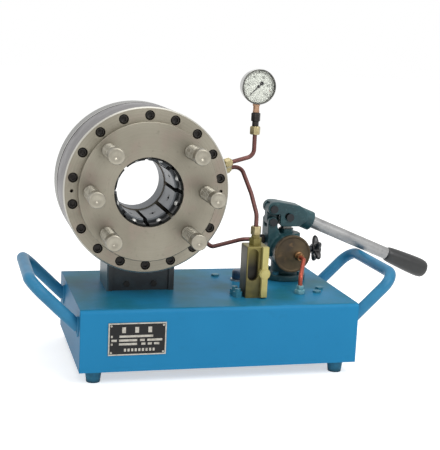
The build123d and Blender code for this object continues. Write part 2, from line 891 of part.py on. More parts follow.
gauge_axis = Axis(origin=(gauge_x, 0, gauge_z), direction=(0, 1, 0))
side_of_gauge = Plane(origin=(gauge_x, 0, gauge_z), x_dir=(0, 1, 0), z_dir=(1, 0, 0))

case_profile = [
    (gauge_front, gauge_radius - gauge_rim),
    (gauge_front, gauge_radius - 1),
    (gauge_front + 1, gauge_radius),
    (gauge_front + 6, gauge_radius),
    (gauge_front + 7, gauge_radius - 2),
    (gauge_back - 2, gauge_radius - 2),
    (gauge_back, gauge_radius - 4),
    (gauge_back, 0),
    (dial_y + 1.5, 0),
    (dial_y + 1.5, gauge_radius - gauge_rim),
]

with BuildPart() as gauge_case:
    revolve(section(side_of_gauge, case_profile), axis=gauge_axis)
    with BuildSketch(Plane.XY.offset(gauge_stem_end)):
        with Locations((gauge_x, gauge_y)):
            Circle(gauge_stem_radius)
    extrude(amount=gauge_z - gauge_radius + 3 - gauge_stem_end)
write(gauge_case, "gauge_case")

with BuildPart() as gauge_dial:
    with BuildSketch(facing_front(gauge_x, dial_y, gauge_z)):
        Circle(gauge_radius - gauge_rim)
        Circle(1 + running_gap, mode=Mode.SUBTRACT)
    extrude(amount=-1.5)
write(gauge_dial, "gauge_dial")

with BuildPart() as gauge_glass:
    with BuildSketch(facing_front(gauge_x, glass_y, gauge_z)):
        Circle(gauge_radius - gauge_rim)
    extrude(amount=-1.5)
write(gauge_glass, "gauge_glass")

needle_angle = 225.0     # tip at zero, lower left of the dial
with BuildPart() as gauge_needle:
    with BuildSketch(facing_front(gauge_x, dial_y - 0.5, gauge_z)):
        Circle(3)
        with PolarLocations(8, 1, start_angle=needle_angle):
            Rectangle(22, 1.2)
        with PolarLocations(20, 1, start_angle=needle_angle):
            Rectangle(8, 0.7)
    extrude(amount=0.6)
    with BuildSketch(facing_front(gauge_x, dial_y - 1.1, gauge_z)):
        Circle(1)
    extrude(amount=-2.4)
write(gauge_needle, "gauge_needle")

with BuildPart() as gauge_adapter:
    with BuildSketch(Plane.XY.offset(adapter_end)):
        with Locations((gauge_x, gauge_y)):
            RegularPolygon(adapter_radius, 6)
    extrude(amount=gauge_stem_end - adapter_end)
    with BuildSketch(Plane.XY.offset(gauge_neck_end)):
        with Locations((gauge_x, gauge_y)):
            Circle(gauge_stem_radius)
    extrude(amount=adapter_end - gauge_neck_end)
write(gauge_adapter, "gauge_adapter")

# ---- pipes and their fittings ---------------------------------------------------------------------
valve_top = tank_top + valve_height
connector_top = valve_top + connector_hex + connector_neck
valve_nut_top = connector_top + nut_length
elbow_x = chamber_x + elbow_offset_x
elbow_z = chamber_z - elbow_offset_z
disc_front = chamber_front - disc_thickness
pressure_port_z = tower_top - side_port_drop
side_boss_end = pump_x - tower_radius - side_boss_rise
side_fitting_x = side_boss_end - side_fitting_length


def pipe(points, bends):
    """Hard copper pipe along straight runs joined by bends."""
    with BuildPart() as tube:
        with BuildLine() as route:
            FilletPolyline(*points, radius=bends)
        with BuildSketch(Plane(origin=route.line @ 0, z_dir=route.line % 0)):
            Circle(pipe_radius)
            Circle(pipe_bore_radius, mode=Mode.SUBTRACT)
        sweep(path=route.line)
    return tube


stub_radius = head_radius + port_stub
gauge_route = [
    on_rim(gauge_port_angle, stub_radius, gauge_port_y),
    on_rim(gauge_port_angle, gauge_x / cos(radians(gauge_port_angle)), gauge_port_y),
    (gauge_x, gauge_y, gauge_neck_end),
]
gauge_pipe = pipe(gauge_route, 16)
write(gauge_pipe, "gauge_pipe")

supply_route = [
    on_rim(supply_port_angle, stub_radius, supply_port_y),
    on_rim(supply_port_angle, stub_radius + supply_run, supply_port_y),
    (valve_x, valve_y + supply_bend_back, supply_bend_z),
    (valve_x, valve_y, supply_drop_z),
    (valve_x, valve_y, connector_top),
]
supply_pipe = pipe(supply_route, [16, 24, 14])
write(supply_pipe, "supply_pipe")

pressure_route = [
    on_rim(pressure_port_angle, stub_radius, pressure_port_y),
    on_rim(pressure_port_angle, stub_radius + pressure_run, pressure_port_y),
    (side_fitting_x - pressure_lead, pump_y, pressure_port_z),
    (side_fitting_x, pump_y, pressure_port_z),
]
pressure_pipe = pipe(pressure_route, [14, 40])
write(pressure_pipe, "pressure_pipe")

return_top = tank_top + return_fitting_height
return_route = [
    (elbow_x, disc_front - elbow_length, elbow_z),
    (elbow_x, disc_front - elbow_length - return_fitting_height, elbow_z),
    (return_fitting[0], return_fitting[1], return_top + return_fitting_height),
    (return_fitting[0], return_fitting[1], return_top),
]
return_pipe = pipe(return_route, 10)
write(return_pipe, "return_pipe")

with BuildPart() as port_fittings:
    for port_angle, port_y in ports:
        with BuildSketch(radial_plane(port_angle, stub_radius, port_y)):
            Circle(port_thread_radius)
            Circle(pipe_bore_radius, mode=Mode.SUBTRACT)
        extrude(amount=-port_stub - port_thread_depth)
write(port_fittings, "port_fittings")

with BuildPart() as pipe_nuts:
    for port_angle, port_y in ports:
        with BuildSketch(radial_plane(port_angle, stub_radius, port_y)):
            RegularPolygon(nut_radius, 6)
            Circle(pipe_radius, mode=Mode.SUBTRACT)
        extrude(amount=nut_length)
    with BuildSketch(Plane.XY.offset(gauge_nut_end)):
        with Locations((gauge_x, gauge_y)):
            RegularPolygon(nut_radius, 6)
            Circle(pipe_radius, mode=Mode.SUBTRACT)
    extrude(amount=gauge_neck_end - gauge_nut_end)
    with BuildSketch(Plane.XY.offset(connector_top)):
        with Locations((valve_x, valve_y)):
            RegularPolygon(nut_radius, 6)
            Circle(pipe_radius, mode=Mode.SUBTRACT)
    extrude(amount=nut_length)
write(pipe_nuts, "pipe_nuts")

# ---- valve block ----------------------------------------------------------------------------------
valve_front = valve_y - valve_depth / 2
valve_spindle_z = tank_top + valve_handle_rise
spindle_depth = 16.0

with BuildPart() as valve_block:
    with BuildSketch(Plane.XY.offset(tank_top)):
        with Locations((valve_x, valve_y)):
            RectangleRounded(valve_width, valve_depth, 2)
    extrude(amount=valve_height)
    chamfer(valve_block.edges().group_by(Axis.Z)[-1], length=1.5)
    recess_z = valve_top - valve_recess_top - valve_recess_length / 2
    with BuildSketch(facing_front(valve_x - valve_recess_left, valve_front, recess_z)):
        SlotOverall(valve_recess_length, valve_recess_width, rotation=90)
    extrude(amount=-valve_recess_depth, mode=Mode.SUBTRACT)
    with BuildSketch(facing_front(valve_handle_x, valve_front, valve_spindle_z)):
        Circle(valve_spindle_radius + running_gap)
    extrude(amount=-spindle_depth, mode=Mode.SUBTRACT)
write(valve_block, "valve_block")

with BuildPart() as valve_connector:
    with BuildSketch(Plane.XY.offset(valve_top)):
        with Locations((valve_x, valve_y)):
            RegularPolygon(nut_radius + 1.5, 6)
    extrude(amount=connector_hex)
    with BuildSketch(Plane.XY.offset(valve_top + connector_hex)):
        with Locations((valve_x, valve_y)):
            Circle(port_thread_radius)
    extrude(amount=connector_neck)
write(valve_connector, "valve_connector")

with BuildPart() as valve_handle:
    bar_plane = facing_front(valve_handle_x, valve_front - 1.5, valve_spindle_z)
    with BuildSketch(bar_plane):
        with Locations((0, (valve_bar_upper - valve_bar_lower) / 2)):
            Rectangle(valve_bar_width, valve_bar_upper + valve_bar_lower)
        Circle(valve_boss_radius)
    extrude(amount=valve_bar_thickness)
    with BuildSketch(bar_plane.offset(valve_bar_thickness)):
        Circle(valve_boss_radius - 2)
    extrude(amount=2)
    with BuildSketch(bar_plane):
        Circle(valve_spindle_radius)
    extrude(amount=-spindle_depth)
write(valve_handle, "valve_handle")

# ---- hand pump ------------------------------------------------------------------------------------
tongue_front = pump_y - tongue_thickness / 2
lever_front = pump_y - lever_width / 2
fork_gap = tongue_thickness + 2 * slide_gap
clevis_reach = rocker_radius + 1.5
spindle_hold = 10.0
pump_bolt_reach = pump_bolt_circle * cos(radians(45))
pump_bolt_xs = (pump_x - pump_bolt_reach, pump_x + pump_bolt_reach)
pump_bolt_ys = (pump_y - pump_bolt_reach, pump_y + pump_bolt_reach)
pump_bolt_places = [(x, y) for x in pump_bolt_xs for y in pump_bolt_ys]

with BuildPart() as pump_body:
    with BuildSketch(Plane.XY.offset(tank_top)):
        with Locations((pump_x, pump_y)):
            Circle(pump_base_radius)
    extrude(amount=pump_base_height)
    with BuildSketch(Plane.XY.offset(tank_top + pump_base_height)):
        with Locations((pump_x, pump_y)):
            Circle(tower_radius)
    extrude(amount=tower_height - pump_base_height)
    with BuildSketch(Plane.XY.offset(tower_top - collar_height)):
        with Locations((pump_x, pump_y)):
            Circle(collar_radius)
    extrude(amount=collar_height)
    with BuildSketch(facing_front(chamber_x, chamber_front, chamber_z)):
        Circle(chamber_radius)
    extrude(amount=chamber_front - chamber_back)
    with BuildSketch(facing_front(0, lever_front, 0)):
        with BuildLine():
            Polyline(
                (fulcrum_x - ear_radius, rocker_z),
                (fulcrum_x - ear_radius + slide_gap, tower_top - ear_root),
                (pump_x, tower_top - ear_root),
                (pump_x, tower_top),
                (fulcrum_x + ear_radius + ear_slope, tower_top),
                (fulcrum_x + ear_radius, rocker_z - ear_radius),
                (fulcrum_x + ear_radius, rocker_z),
            )
            ThreePointArc(
                (fulcrum_x + ear_radius, rocker_z),
                (fulcrum_x, rocker_z + ear_radius),
                (fulcrum_x - ear_radius, rocker_z),
            )
        make_face()
    extrude(amount=-lever_width)
    with BuildSketch(facing_front(0, pump_y - fork_gap / 2, 0)):
        with Locations((fulcrum_x, rocker_z)):
            Rectangle(2 * clevis_reach, 2 * clevis_reach)
    extrude(amount=-fork_gap, mode=Mode.SUBTRACT)
    with BuildSketch(facing_right(chamber_x, knob_y, chamber_z)):
        Circle(release_boss_radius)
    extrude(amount=release_boss_end - chamber_x)
    with BuildSketch(facing_right(pump_x, pump_y, pressure_port_z)):
        Circle(side_boss_radius)
    extrude(amount=-tower_radius - side_boss_rise)
    with BuildSketch(facing_front(fulcrum_x, lever_front, rocker_z)):
        Circle(pin_radius)
    extrude(amount=-lever_width, mode=Mode.SUBTRACT)
    with BuildSketch(Plane.XY.offset(tower_top)):
        with Locations((pump_x, pump_y)):
            Circle(plunger_radius + running_gap)
    extrude(amount=plunger_low_end - pump_base_height - tower_top, mode=Mode.SUBTRACT)
    with BuildSketch(facing_right(release_boss_end, knob_y, chamber_z)):
        Circle(release_spindle_radius + running_gap)
    extrude(amount=-spindle_hold, mode=Mode.SUBTRACT)
    with BuildSketch(Plane.XY.offset(tank_top)):
        with Locations(*pump_bolt_places):
            Circle(pump_bolt_radius)
        with Locations((pump_x, pump_y)):
            Circle(filler_radius)
    extrude(amount=pump_base_height, mode=Mode.SUBTRACT)
write(pump_body, "pump_body")

with BuildPart() as pump_bolts:
    with BuildSketch(Plane.XY.offset(tank_top + pump_base_height)):
        with Locations(*pump_bolt_places):
            RegularPolygon(pump_bolt_head, 6)
    extrude(amount=pump_bolt_head_height)
    with BuildSketch(Plane.XY.offset(tank_top + pump_base_height)):
        with Locations(*pump_bolt_places):
            Circle(pump_bolt_radius)
    extrude(amount=-pump_base_height)
write(pump_bolts, "pump_bolts")

with BuildPart() as pump_gland:
    with BuildSketch(Plane.XY.offset(tower_top)):
        with Locations((pump_x, pump_y)):
            RegularPolygon(gland_radius, 6)
            Circle(plunger_radius + running_gap, mode=Mode.SUBTRACT)
    extrude(amount=gland_height)
write(pump_gland, "pump_gland")

with BuildPart() as chamber_cover:
    with BuildSketch(facing_front(chamber_x, chamber_front, chamber_z)):
        Circle(disc_radius)
    extrude(amount=disc_thickness)
    chamfer(chamber_cover.edges().group_by(Axis.Y)[0], length=2)
    with BuildSketch(facing_front(chamber_x, disc_front, chamber_z)):
        Circle(disc_radius - 5)
        with Locations((elbow_x - chamber_x, elbow_z - chamber_z)):
            Circle(elbow_boss_radius, mode=Mode.SUBTRACT)
    extrude(amount=-1.5, mode=Mode.SUBTRACT)
write(chamber_cover, "chamber_cover")

with BuildPart() as pipe_fittings:
    with BuildSketch(facing_front(elbow_x, disc_front, elbow_z)):
        Circle(elbow_boss_radius - 2.5)
    extrude(amount=elbow_length)
    with BuildSketch(facing_right(side_boss_end, pump_y, pressure_port_z)):
        RegularPolygon(nut_radius - 0.5, 6)
    extrude(amount=-side_fitting_length)
    with BuildSketch(Plane.XY.offset(tank_top)):
        with Locations(return_fitting):
            RegularPolygon(nut_radius, 6)
    extrude(amount=return_hex_height)
    with BuildSketch(Plane.XY.offset(tank_top + return_hex_height)):
        with Locations(return_fitting):
            Circle(gauge_stem_radius)
    extrude(amount=return_top - tank_top - return_hex_height)
write(pipe_fittings, "pipe_fittings")

# ---- plunger, lever and pins ----------------------------------------------------------------------
with BuildPart() as plunger:
    with BuildSketch(Plane.XY.offset(plunger_low_end)):
        with Locations((pump_x, pump_y)):
            Circle(plunger_radius)
    extrude(amount=link_z - plunger_low_end)
    with BuildSketch(facing_front(link_x, tongue_front, link_z)):
        Circle(plunger_radius)
    extrude(amount=-tongue_thickness)
    for flat_y in (pump_y - plunger_radius, pump_y + plunger_radius):
        with BuildSketch(Plane.XY.offset(link_z - tongue_drop)):
            with Locations((pump_x, flat_y)):
                Rectangle(2 * plunger_radius, 2 * plunger_radius - tongue_thickness)
        extrude(amount=tongue_drop + plunger_radius, mode=Mode.SUBTRACT)
    with BuildSketch(facing_front(link_x, tongue_front, link_z)):
        Circle(pin_radius)
    extrude(amount=-tongue_thickness, mode=Mode.SUBTRACT)
write(plunger, "plunger")

with BuildPart() as pump_rocker:
    with BuildSketch(facing_front(fulcrum_x, tongue_front, (fulcrum_z + rocker_z) / 2)):
        SlotCenterToCenter(fulcrum_z - rocker_z, 2 * rocker_radius, rotation=90)
        with Locations((0, (fulcrum_z - rocker_z) / 2), (0, (rocker_z - fulcrum_z) / 2)):
            Circle(pin_radius, mode=Mode.SUBTRACT)
    extrude(amount=-tongue_thickness)
write(pump_rocker, "pump_rocker")

tilt = radians(lever_angle)
lever_dir = (cos(tilt), 0, -sin(tilt))
socket_plane = Plane(origin=(socket_x, pump_y, socket_z), x_dir=(0, 1, 0), z_dir=lever_dir)
socket_root = 12.0       # socket's boss starts inside the head
link_run = link_x - fulcrum_x
link_angle = atan2(link_z - fulcrum_z, link_run)
top_angle = link_angle + radians(lever_lift)
slot_near = link_run
slot_far = link_run / min(cos(link_angle), cos(top_angle))
slot_middle = (slot_near + slot_far) / 2
slot_x = fulcrum_x + slot_middle * cos(link_angle)
slot_z = fulcrum_z + slot_middle * sin(link_angle)
skirt_left = fulcrum_x + ear_radius + 2 * slide_gap + socket_root / 3
skirt_z = fulcrum_z - lever_skirt
crown_z = fulcrum_z + lever_crown
knuckle = rocker_radius + 2 * slide_gap + 1
ceiling_z = link_z + plunger_radius + 2
fork_low = tank_top
fork_left = fulcrum_x - 2 * lever_width
fork_right = link_x + plunger_radius + 5

with BuildPart() as lever_head:
    with BuildSketch(facing_front(0, lever_front, 0)):
        with BuildLine():
            RadiusArc(
                (fulcrum_x - lever_boss_radius, fulcrum_z),
                (fulcrum_x, fulcrum_z - lever_boss_radius),
                -lever_boss_radius,
            )
            Polyline(
                (fulcrum_x, fulcrum_z - lever_boss_radius),
                (skirt_left, fulcrum_z - lever_boss_radius),
                (skirt_left, skirt_z + 4),
                (skirt_left + 4, skirt_z),
                (socket_x - socket_root, skirt_z),
                (socket_x + 2, socket_z),
                (socket_x + 2, socket_z + lever_crown),
                (socket_x - socket_root, crown_z - 8),
                (fulcrum_x + lever_boss_radius, crown_z),
                (fulcrum_x, crown_z),
            )
            RadiusArc(
                (fulcrum_x, crown_z),
                (fulcrum_x - lever_boss_radius, fulcrum_z),
                -lever_crown,
            )
        make_face()
    extrude(amount=-lever_width)
    with BuildSketch(socket_plane.offset(-socket_root)):
        Circle(socket_radius)
    extrude(amount=socket_root + socket_length)
    fork_outline = [
        (fork_left, fork_low),
        (fork_left, fulcrum_z + knuckle),
        (fulcrum_x + knuckle, fulcrum_z + knuckle),
        (link_x - plunger_radius - 4, ceiling_z),
        (fork_right, ceiling_z),
        (fork_right, fork_low),
    ]
    fork_plane = facing_front(0, pump_y - fork_gap / 2, 0)
    extrude(section(fork_plane, fork_outline), amount=-fork_gap, mode=Mode.SUBTRACT)
    with BuildSketch(socket_plane.offset(socket_length)):
        Circle(lever_tube_radius)
    extrude(amount=-lever_insert, mode=Mode.SUBTRACT)
    with BuildSketch(facing_front(fulcrum_x, lever_front, fulcrum_z)):
        Circle(pin_radius + running_gap)
    extrude(amount=-lever_width, mode=Mode.SUBTRACT)
    with BuildSketch(facing_front(slot_x, lever_front, slot_z)):
        slot_run = slot_far - slot_near + slot_margin
        SlotCenterToCenter(slot_run, 2 * (pin_radius + slot_margin), rotation=degrees(link_angle))
    extrude(amount=-lever_width, mode=Mode.SUBTRACT)
write(lever_head, "lever_head")


def pivot_pins(places):
    """Pins through the fork or the clevis, with a head at each end; places are points along X and Z."""
    with BuildPart() as pins:
        with BuildSketch(facing_front(0, lever_front - pin_head_height / 2, 0)):
            with Locations(*places):
                Circle(pin_radius)
        extrude(amount=-lever_width - pin_head_height)
        with BuildSketch(facing_front(0, lever_front - slide_gap, 0)):
            with Locations(*places):
                Circle(pin_head_radius)
        extrude(amount=pin_head_height)
        with BuildSketch(facing_front(0, lever_front + lever_width + slide_gap, 0)):
            with Locations(*places):
                Circle(pin_head_radius)
        extrude(amount=-pin_head_height)
    return pins


rocker_pins = pivot_pins([(fulcrum_x, fulcrum_z), (fulcrum_x, rocker_z)])
write(rocker_pins, "rocker_pins")
plunger_pin = pivot_pins([(link_x, link_z)])
write(plunger_pin, "plunger_pin")

tube_plane = socket_plane.offset(socket_length - lever_insert)
grip_plane = tube_plane.offset(lever_tube_length - grip_length + 4)

with BuildPart() as lever_tube:
    with BuildSketch(tube_plane):
        Circle(lever_tube_radius)
        Circle(lever_tube_bore, mode=Mode.SUBTRACT)
    extrude(amount=lever_tube_length)
write(lever_tube, "lever_tube")

with BuildPart() as lever_grip:
    with BuildSketch(grip_plane):
        Circle(grip_radius - 1.5)
    with BuildSketch(grip_plane.offset(grip_length)):
        Circle(grip_radius)
    loft()
    fillet(lever_grip.edges().filter_by(GeomType.CIRCLE), radius=3)
    with BuildSketch(grip_plane):
        Circle(lever_tube_radius)
    extrude(amount=grip_length - 4, mode=Mode.SUBTRACT)
write(lever_grip, "lever_grip")

# ---- release knob ---------------------------------------------------------------------------------
with BuildPart() as release_spindle:
    with BuildSketch(facing_right(release_boss_end - 10, knob_y, chamber_z)):
        Circle(release_spindle_radius)
    extrude(amount=knob_start - release_boss_end + 10)
write(release_spindle, "release_spindle")

with BuildPart() as release_knob:
    with BuildSketch(facing_right(knob_start, knob_y, chamber_z)):
        Circle(knob_radius - knob_lobe_radius)
        with PolarLocations(knob_radius - knob_lobe_radius, knob_lobes):
            Circle(knob_lobe_radius)
    extrude(amount=knob_thickness)
    chamfer(release_knob.faces().sort_by(Axis.X)[-1].edges(), length=2)
write(release_knob, "release_knob")
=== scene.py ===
import math
import bpy
import bmesh
import numpy as np
from mathutils import Matrix, Vector


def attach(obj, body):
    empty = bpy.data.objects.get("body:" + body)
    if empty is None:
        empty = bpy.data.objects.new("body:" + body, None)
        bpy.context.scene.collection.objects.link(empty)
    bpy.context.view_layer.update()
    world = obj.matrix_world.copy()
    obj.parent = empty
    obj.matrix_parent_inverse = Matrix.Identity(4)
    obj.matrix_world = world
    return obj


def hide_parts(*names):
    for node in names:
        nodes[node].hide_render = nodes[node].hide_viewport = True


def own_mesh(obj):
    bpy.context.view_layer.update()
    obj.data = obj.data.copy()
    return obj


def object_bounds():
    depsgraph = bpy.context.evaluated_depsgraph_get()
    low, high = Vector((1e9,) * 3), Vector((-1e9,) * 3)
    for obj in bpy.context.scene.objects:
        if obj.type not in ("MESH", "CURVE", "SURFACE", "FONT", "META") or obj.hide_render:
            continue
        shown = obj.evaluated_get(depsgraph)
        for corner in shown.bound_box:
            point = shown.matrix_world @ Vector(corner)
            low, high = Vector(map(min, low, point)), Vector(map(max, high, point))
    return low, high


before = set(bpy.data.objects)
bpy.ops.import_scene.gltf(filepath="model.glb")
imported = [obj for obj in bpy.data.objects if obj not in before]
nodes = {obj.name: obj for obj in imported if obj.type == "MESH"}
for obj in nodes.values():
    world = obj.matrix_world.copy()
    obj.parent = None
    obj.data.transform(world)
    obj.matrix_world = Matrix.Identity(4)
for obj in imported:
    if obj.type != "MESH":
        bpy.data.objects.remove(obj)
cad_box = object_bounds()
mm = 0.001


# ---- Oil tank --------------------------------------------------------------------------------------
# Folded from 3 mm sheet steel and welded at the ends, with a screwed floor, then sprayed in a glossy
# machine blue. The paint has a faint orange peel, and oil has darkened the top where the pump stands.

def tone(red, green, blue):
    """Linear colour of a paint chip read on a display scale of 0 to 255."""
    chip = np.array([red, green, blue]) / 255
    linear = np.where(chip <= 0.04045, chip / 12.92, ((chip + 0.055) / 1.055) ** 2.4)
    return (*linear.tolist(), 1.0)


class Finish:
    """A node material on Object coordinates: a shader, and the layers that are laid over its colour."""

    def __init__(self, name, colour, roughness, metallic=0.0):
        self.material = bpy.data.materials.new(name)
        self.material.use_nodes = True
        self.tree = self.material.node_tree
        self.shader = self.tree.nodes["Principled BSDF"]
        self.place = self.tree.nodes.new("ShaderNodeTexCoord").outputs["Object"]
        self.colour = colour
        self.relief = None
        self.set(Base_Color=colour, Roughness=roughness, Metallic=metallic)

    def join(self, socket, value):
        """Links a socket to another, or sets its plain value."""
        if isinstance(value, bpy.types.NodeSocket):
            self.tree.links.new(value, socket)
        else:
            socket.default_value = value

    def math(self, operation, first, second=0.0):
        """Arithmetic between sockets or numbers."""
        node = self.tree.nodes.new("ShaderNodeMath")
        node.operation = operation
        self.join(node.inputs[0], first)
        self.join(node.inputs[1], second)
        return node.outputs[0]

    def axis(self, letter, centre=0.0):
        """One Object coordinate, in metres from a centre."""
        node = self.tree.nodes.new("ShaderNodeSeparateXYZ")
        self.tree.links.new(self.place, node.inputs[0])
        return self.math("SUBTRACT", node.outputs[letter], centre)

    def cloud(self, scale, detail=4.0, stretch=(1, 1, 1), place=None):
        """Noise from 0 to 1, about scale features to the metre, finer along a stretched axis."""
        mapping = self.tree.nodes.new("ShaderNodeMapping")
        mapping.inputs["Scale"].default_value = stretch
        self.tree.links.new(place or self.place, mapping.inputs["Vector"])
        node = self.tree.nodes.new("ShaderNodeTexNoise")
        node.inputs["Scale"].default_value = scale
        node.inputs["Detail"].default_value = detail
        self.tree.links.new(mapping.outputs["Vector"], node.inputs["Vector"])
        return node.outputs["Fac"]

    def between(self, value, low, high, start=0.0, end=1.0):
        """Value spread from start to end as it goes from low to high, held at both ends."""
        node = self.tree.nodes.new("ShaderNodeMapRange")
        for socket, number in zip(node.inputs[1:5], (low, high, start, end)):
            socket.default_value = number
        self.tree.links.new(value, node.inputs["Value"])
        return node.outputs["Result"]

    def tint(self, factor, colour):
        """Lays a colour over the one below where factor is high."""
        node = self.tree.nodes.new("ShaderNodeMix")
        node.data_type = "RGBA"
        self.join(node.inputs[0], factor)
        self.join(node.inputs[6], self.colour)
        self.join(node.inputs[7], colour)
        self.colour = node.outputs[2]
        self.tree.links.new(self.colour, self.shader.inputs["Base Color"])
        return self

    def gloss(self, factor, low, high):
        """Roughness that runs from low to high with factor."""
        self.tree.links.new(self.between(factor, 0.25, 0.75, low, high), self.shader.inputs["Roughness"])
        return self

    def bump(self, height, depth, strength=1.0):
        """Relief of a real depth, in metres, over any relief already there."""
        node = self.tree.nodes.new("ShaderNodeBump")
        node.inputs["Strength"].default_value = strength
        node.inputs["Distance"].default_value = depth
        self.tree.links.new(height, node.inputs["Height"])
        if self.relief:
            self.tree.links.new(self.relief, node.inputs["Normal"])
        self.relief = node.outputs["Normal"]
        self.tree.links.new(self.relief, self.shader.inputs["Normal"])
        return self

    def set(self, **values):
        """Plain values on the shader's own sockets; an underscore stands for a space."""
        for name, value in values.items():
            self.shader.inputs[name.replace("_", " ")].default_value = value
        return self


def dress(finish, *names):
    """Gives CAD nodes their finish."""
    for name in names:
        slots = nodes[name].data.materials
        slots.clear()
        slots.append(finish.material)


tank_blue = Finish("tank_blue_paint", tone(38, 130, 178), 0.42)
tank_blue.tint(tank_blue.between(tank_blue.cloud(9, 5), 0.35, 0.8, 0.0, 0.35), tone(30, 116, 164))
tank_blue.tint(tank_blue.between(tank_blue.cloud(60, 6), 0.62, 0.8, 0.0, 0.18), tone(34, 102, 140))
tank_top = tank_blue.between(tank_blue.axis("Z"), -0.1905, -0.1895)
oily = tank_blue.between(tank_blue.cloud(14, 5), 0.36, 0.66, 0.3, 0.95)
tank_blue.tint(tank_blue.math("MULTIPLY", tank_top, oily), tone(30, 104, 118))
# The tank's left end wall is painted darker: painted shade on the end that faces away from the key light.
left_end_painted_shade = tank_blue.between(tank_blue.axis("X"), -0.1235, -0.1249)
tank_blue.tint(tank_blue.math("MULTIPLY", left_end_painted_shade, 0.6), tone(24, 92, 128))
tank_blue.bump(tank_blue.cloud(420, 3), 0.00012, 0.35).set(Specular_IOR_Level=0.1)
dress(tank_blue, "tank_shell", "tank_bottom")


# ---- Feet and tank hardware ------------------------------------------------------------------------
# Tapered feet moulded in a blue that nearly matches the tank, a plugged drain and a suction strainer
# out of sight. A countersunk screw holds each foot.

foot_blue = Finish("foot_blue", tone(50, 118, 146), 0.6)
foot_blue.tint(foot_blue.between(foot_blue.cloud(70, 5), 0.4, 0.7, 0.0, 0.8), tone(36, 88, 112))
# The bottom 8 mm of each foot is painted darker: painted shade where the foot meets the floor.
foot_blue.tint(foot_blue.between(foot_blue.axis("Z"), -0.314, -0.322), tone(30, 62, 78))
foot_blue.bump(foot_blue.cloud(900, 3), 0.0001, 0.5).set(Specular_IOR_Level=0.25)
dress(foot_blue, "tank_feet")
bright_zinc = Finish("bright_zinc", tone(168, 170, 168), 0.36, 0.85)
bright_zinc.tint(bright_zinc.between(bright_zinc.cloud(160, 4), 0.4, 0.75, 0.0, 0.6), tone(120, 122, 120))
dress(bright_zinc, "foot_screws", "drain_plug", "suction_strainer", "filler_neck")


# ---- Carrying handles ------------------------------------------------------------------------------
# A 21 mm tube bent three ways and welded to each end of the tank, in a blue a shade deeper than the
# tank's. A ring of weld bead stands round each foot of the tube.

def shell(*stacks, closed=False):
    """Corners and faces of stacks of rings, each stack an array of (rings, points, 3) in mm.

    Face (i, j) joins points j and j + 1 of rings i and i + 1. A stack ends in two flat caps, or, if
    closed, its last ring joins its first.
    """
    corners, faces = [], []
    base = 0
    for stack in stacks:
        rings, points = stack.shape[:2]
        index = base + np.arange(rings * points).reshape(rings, points)
        ahead = np.roll(index, -1, axis=0) if closed else index[1:]
        here = index if closed else index[:-1]
        quads = np.stack([here, np.roll(here, -1, 1), np.roll(ahead, -1, 1), ahead], axis=2)
        faces.extend(quads.reshape(-1, 4).tolist())
        if not closed:
            faces.extend([index[0, ::-1].tolist(), index[-1].tolist()])
        corners.append(stack.reshape(-1, 3))
        base += rings * points
    return np.concatenate(corners), faces


def add_piece(name, built, finish, body, instead_of=(), crease=38.0):
    """Makes a mesh object from shell's corners and faces, in mm, and ties it to the frame."""
    corners, faces = built
    mesh = bpy.data.meshes.new(name)
    mesh.from_pydata((corners * mm).tolist(), [], faces)
    mesh.validate()
    work = bmesh.new()
    work.from_mesh(mesh)
    bmesh.ops.recalc_face_normals(work, faces=work.faces)
    work.to_mesh(mesh)
    work.free()
    mesh.shade_smooth()
    mesh.set_sharp_from_angle(angle=math.radians(crease))
    mesh.materials.append(finish.material)
    piece = bpy.data.objects.new(name, mesh)
    bpy.context.scene.collection.objects.link(piece)
    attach(piece, body)
    if instead_of:
        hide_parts(*instead_of)
    return piece


handle_blue = Finish("handle_blue_paint", tone(50, 128, 168), 0.4)
handle_blue.tint(handle_blue.between(handle_blue.cloud(30, 5), 0.4, 0.75, 0.0, 0.6), tone(36, 100, 138))
handle_blue.bump(handle_blue.cloud(500, 3), 0.0001, 0.4).set(Specular_IOR_Level=0.25)
dress(handle_blue, "left_handle", "right_handle")

handle_radius = 10.5
handle_reach, handle_climb = 80.0, 79.0
leg_foot_z = -224.0
tank_walls = ((-125.0, -1), (375.0, 1))
leg_rows = (-44.0, 171.0)
weld_radius = 2.6
legs = [(wall_x, side, leg_y) for wall_x, side in tank_walls for leg_y in leg_rows]
rail_slope = math.atan2(handle_climb, handle_reach)
beads = []
for wall_x, side, leg_y in legs:
    around = np.linspace(0, 2 * np.pi, 96, endpoint=False)
    across = np.linspace(0, 2 * np.pi, 10, endpoint=False)
    ripple = 1 + 0.10 * np.sin(around * 26)
    turn, cross = np.meshgrid(around, across, indexing="ij")
    bead = weld_radius * ripple[:, None]
    reach = handle_radius + bead * np.cos(cross) * 0.9
    beads.append(np.stack([
        wall_x + side * (bead * np.sin(cross) * 0.8 + 0.4),
        leg_y + reach * np.cos(turn),
        leg_foot_z + reach * np.sin(turn) / math.cos(rail_slope),
    ], axis=2))
add_piece("handle_welds", shell(*beads, closed=True), handle_blue, "machine")


# ---- Nameplate -------------------------------------------------------------------------------------
# A black anodised aluminium plate with a bright rolled border and rows of plain bars where the data
# would be stamped. Four round-headed rivets hold it.

def block(low, high):
    """Box between two corners, as a stack of two rings."""
    (x0, y0, z0), (x1, y1, z1) = low, high
    ring = [(x0, z0), (x1, z0), (x1, z1), (x0, z1)]
    return np.array([[(x, y, z) for x, z in ring] for y in (y1, y0)], dtype=float)


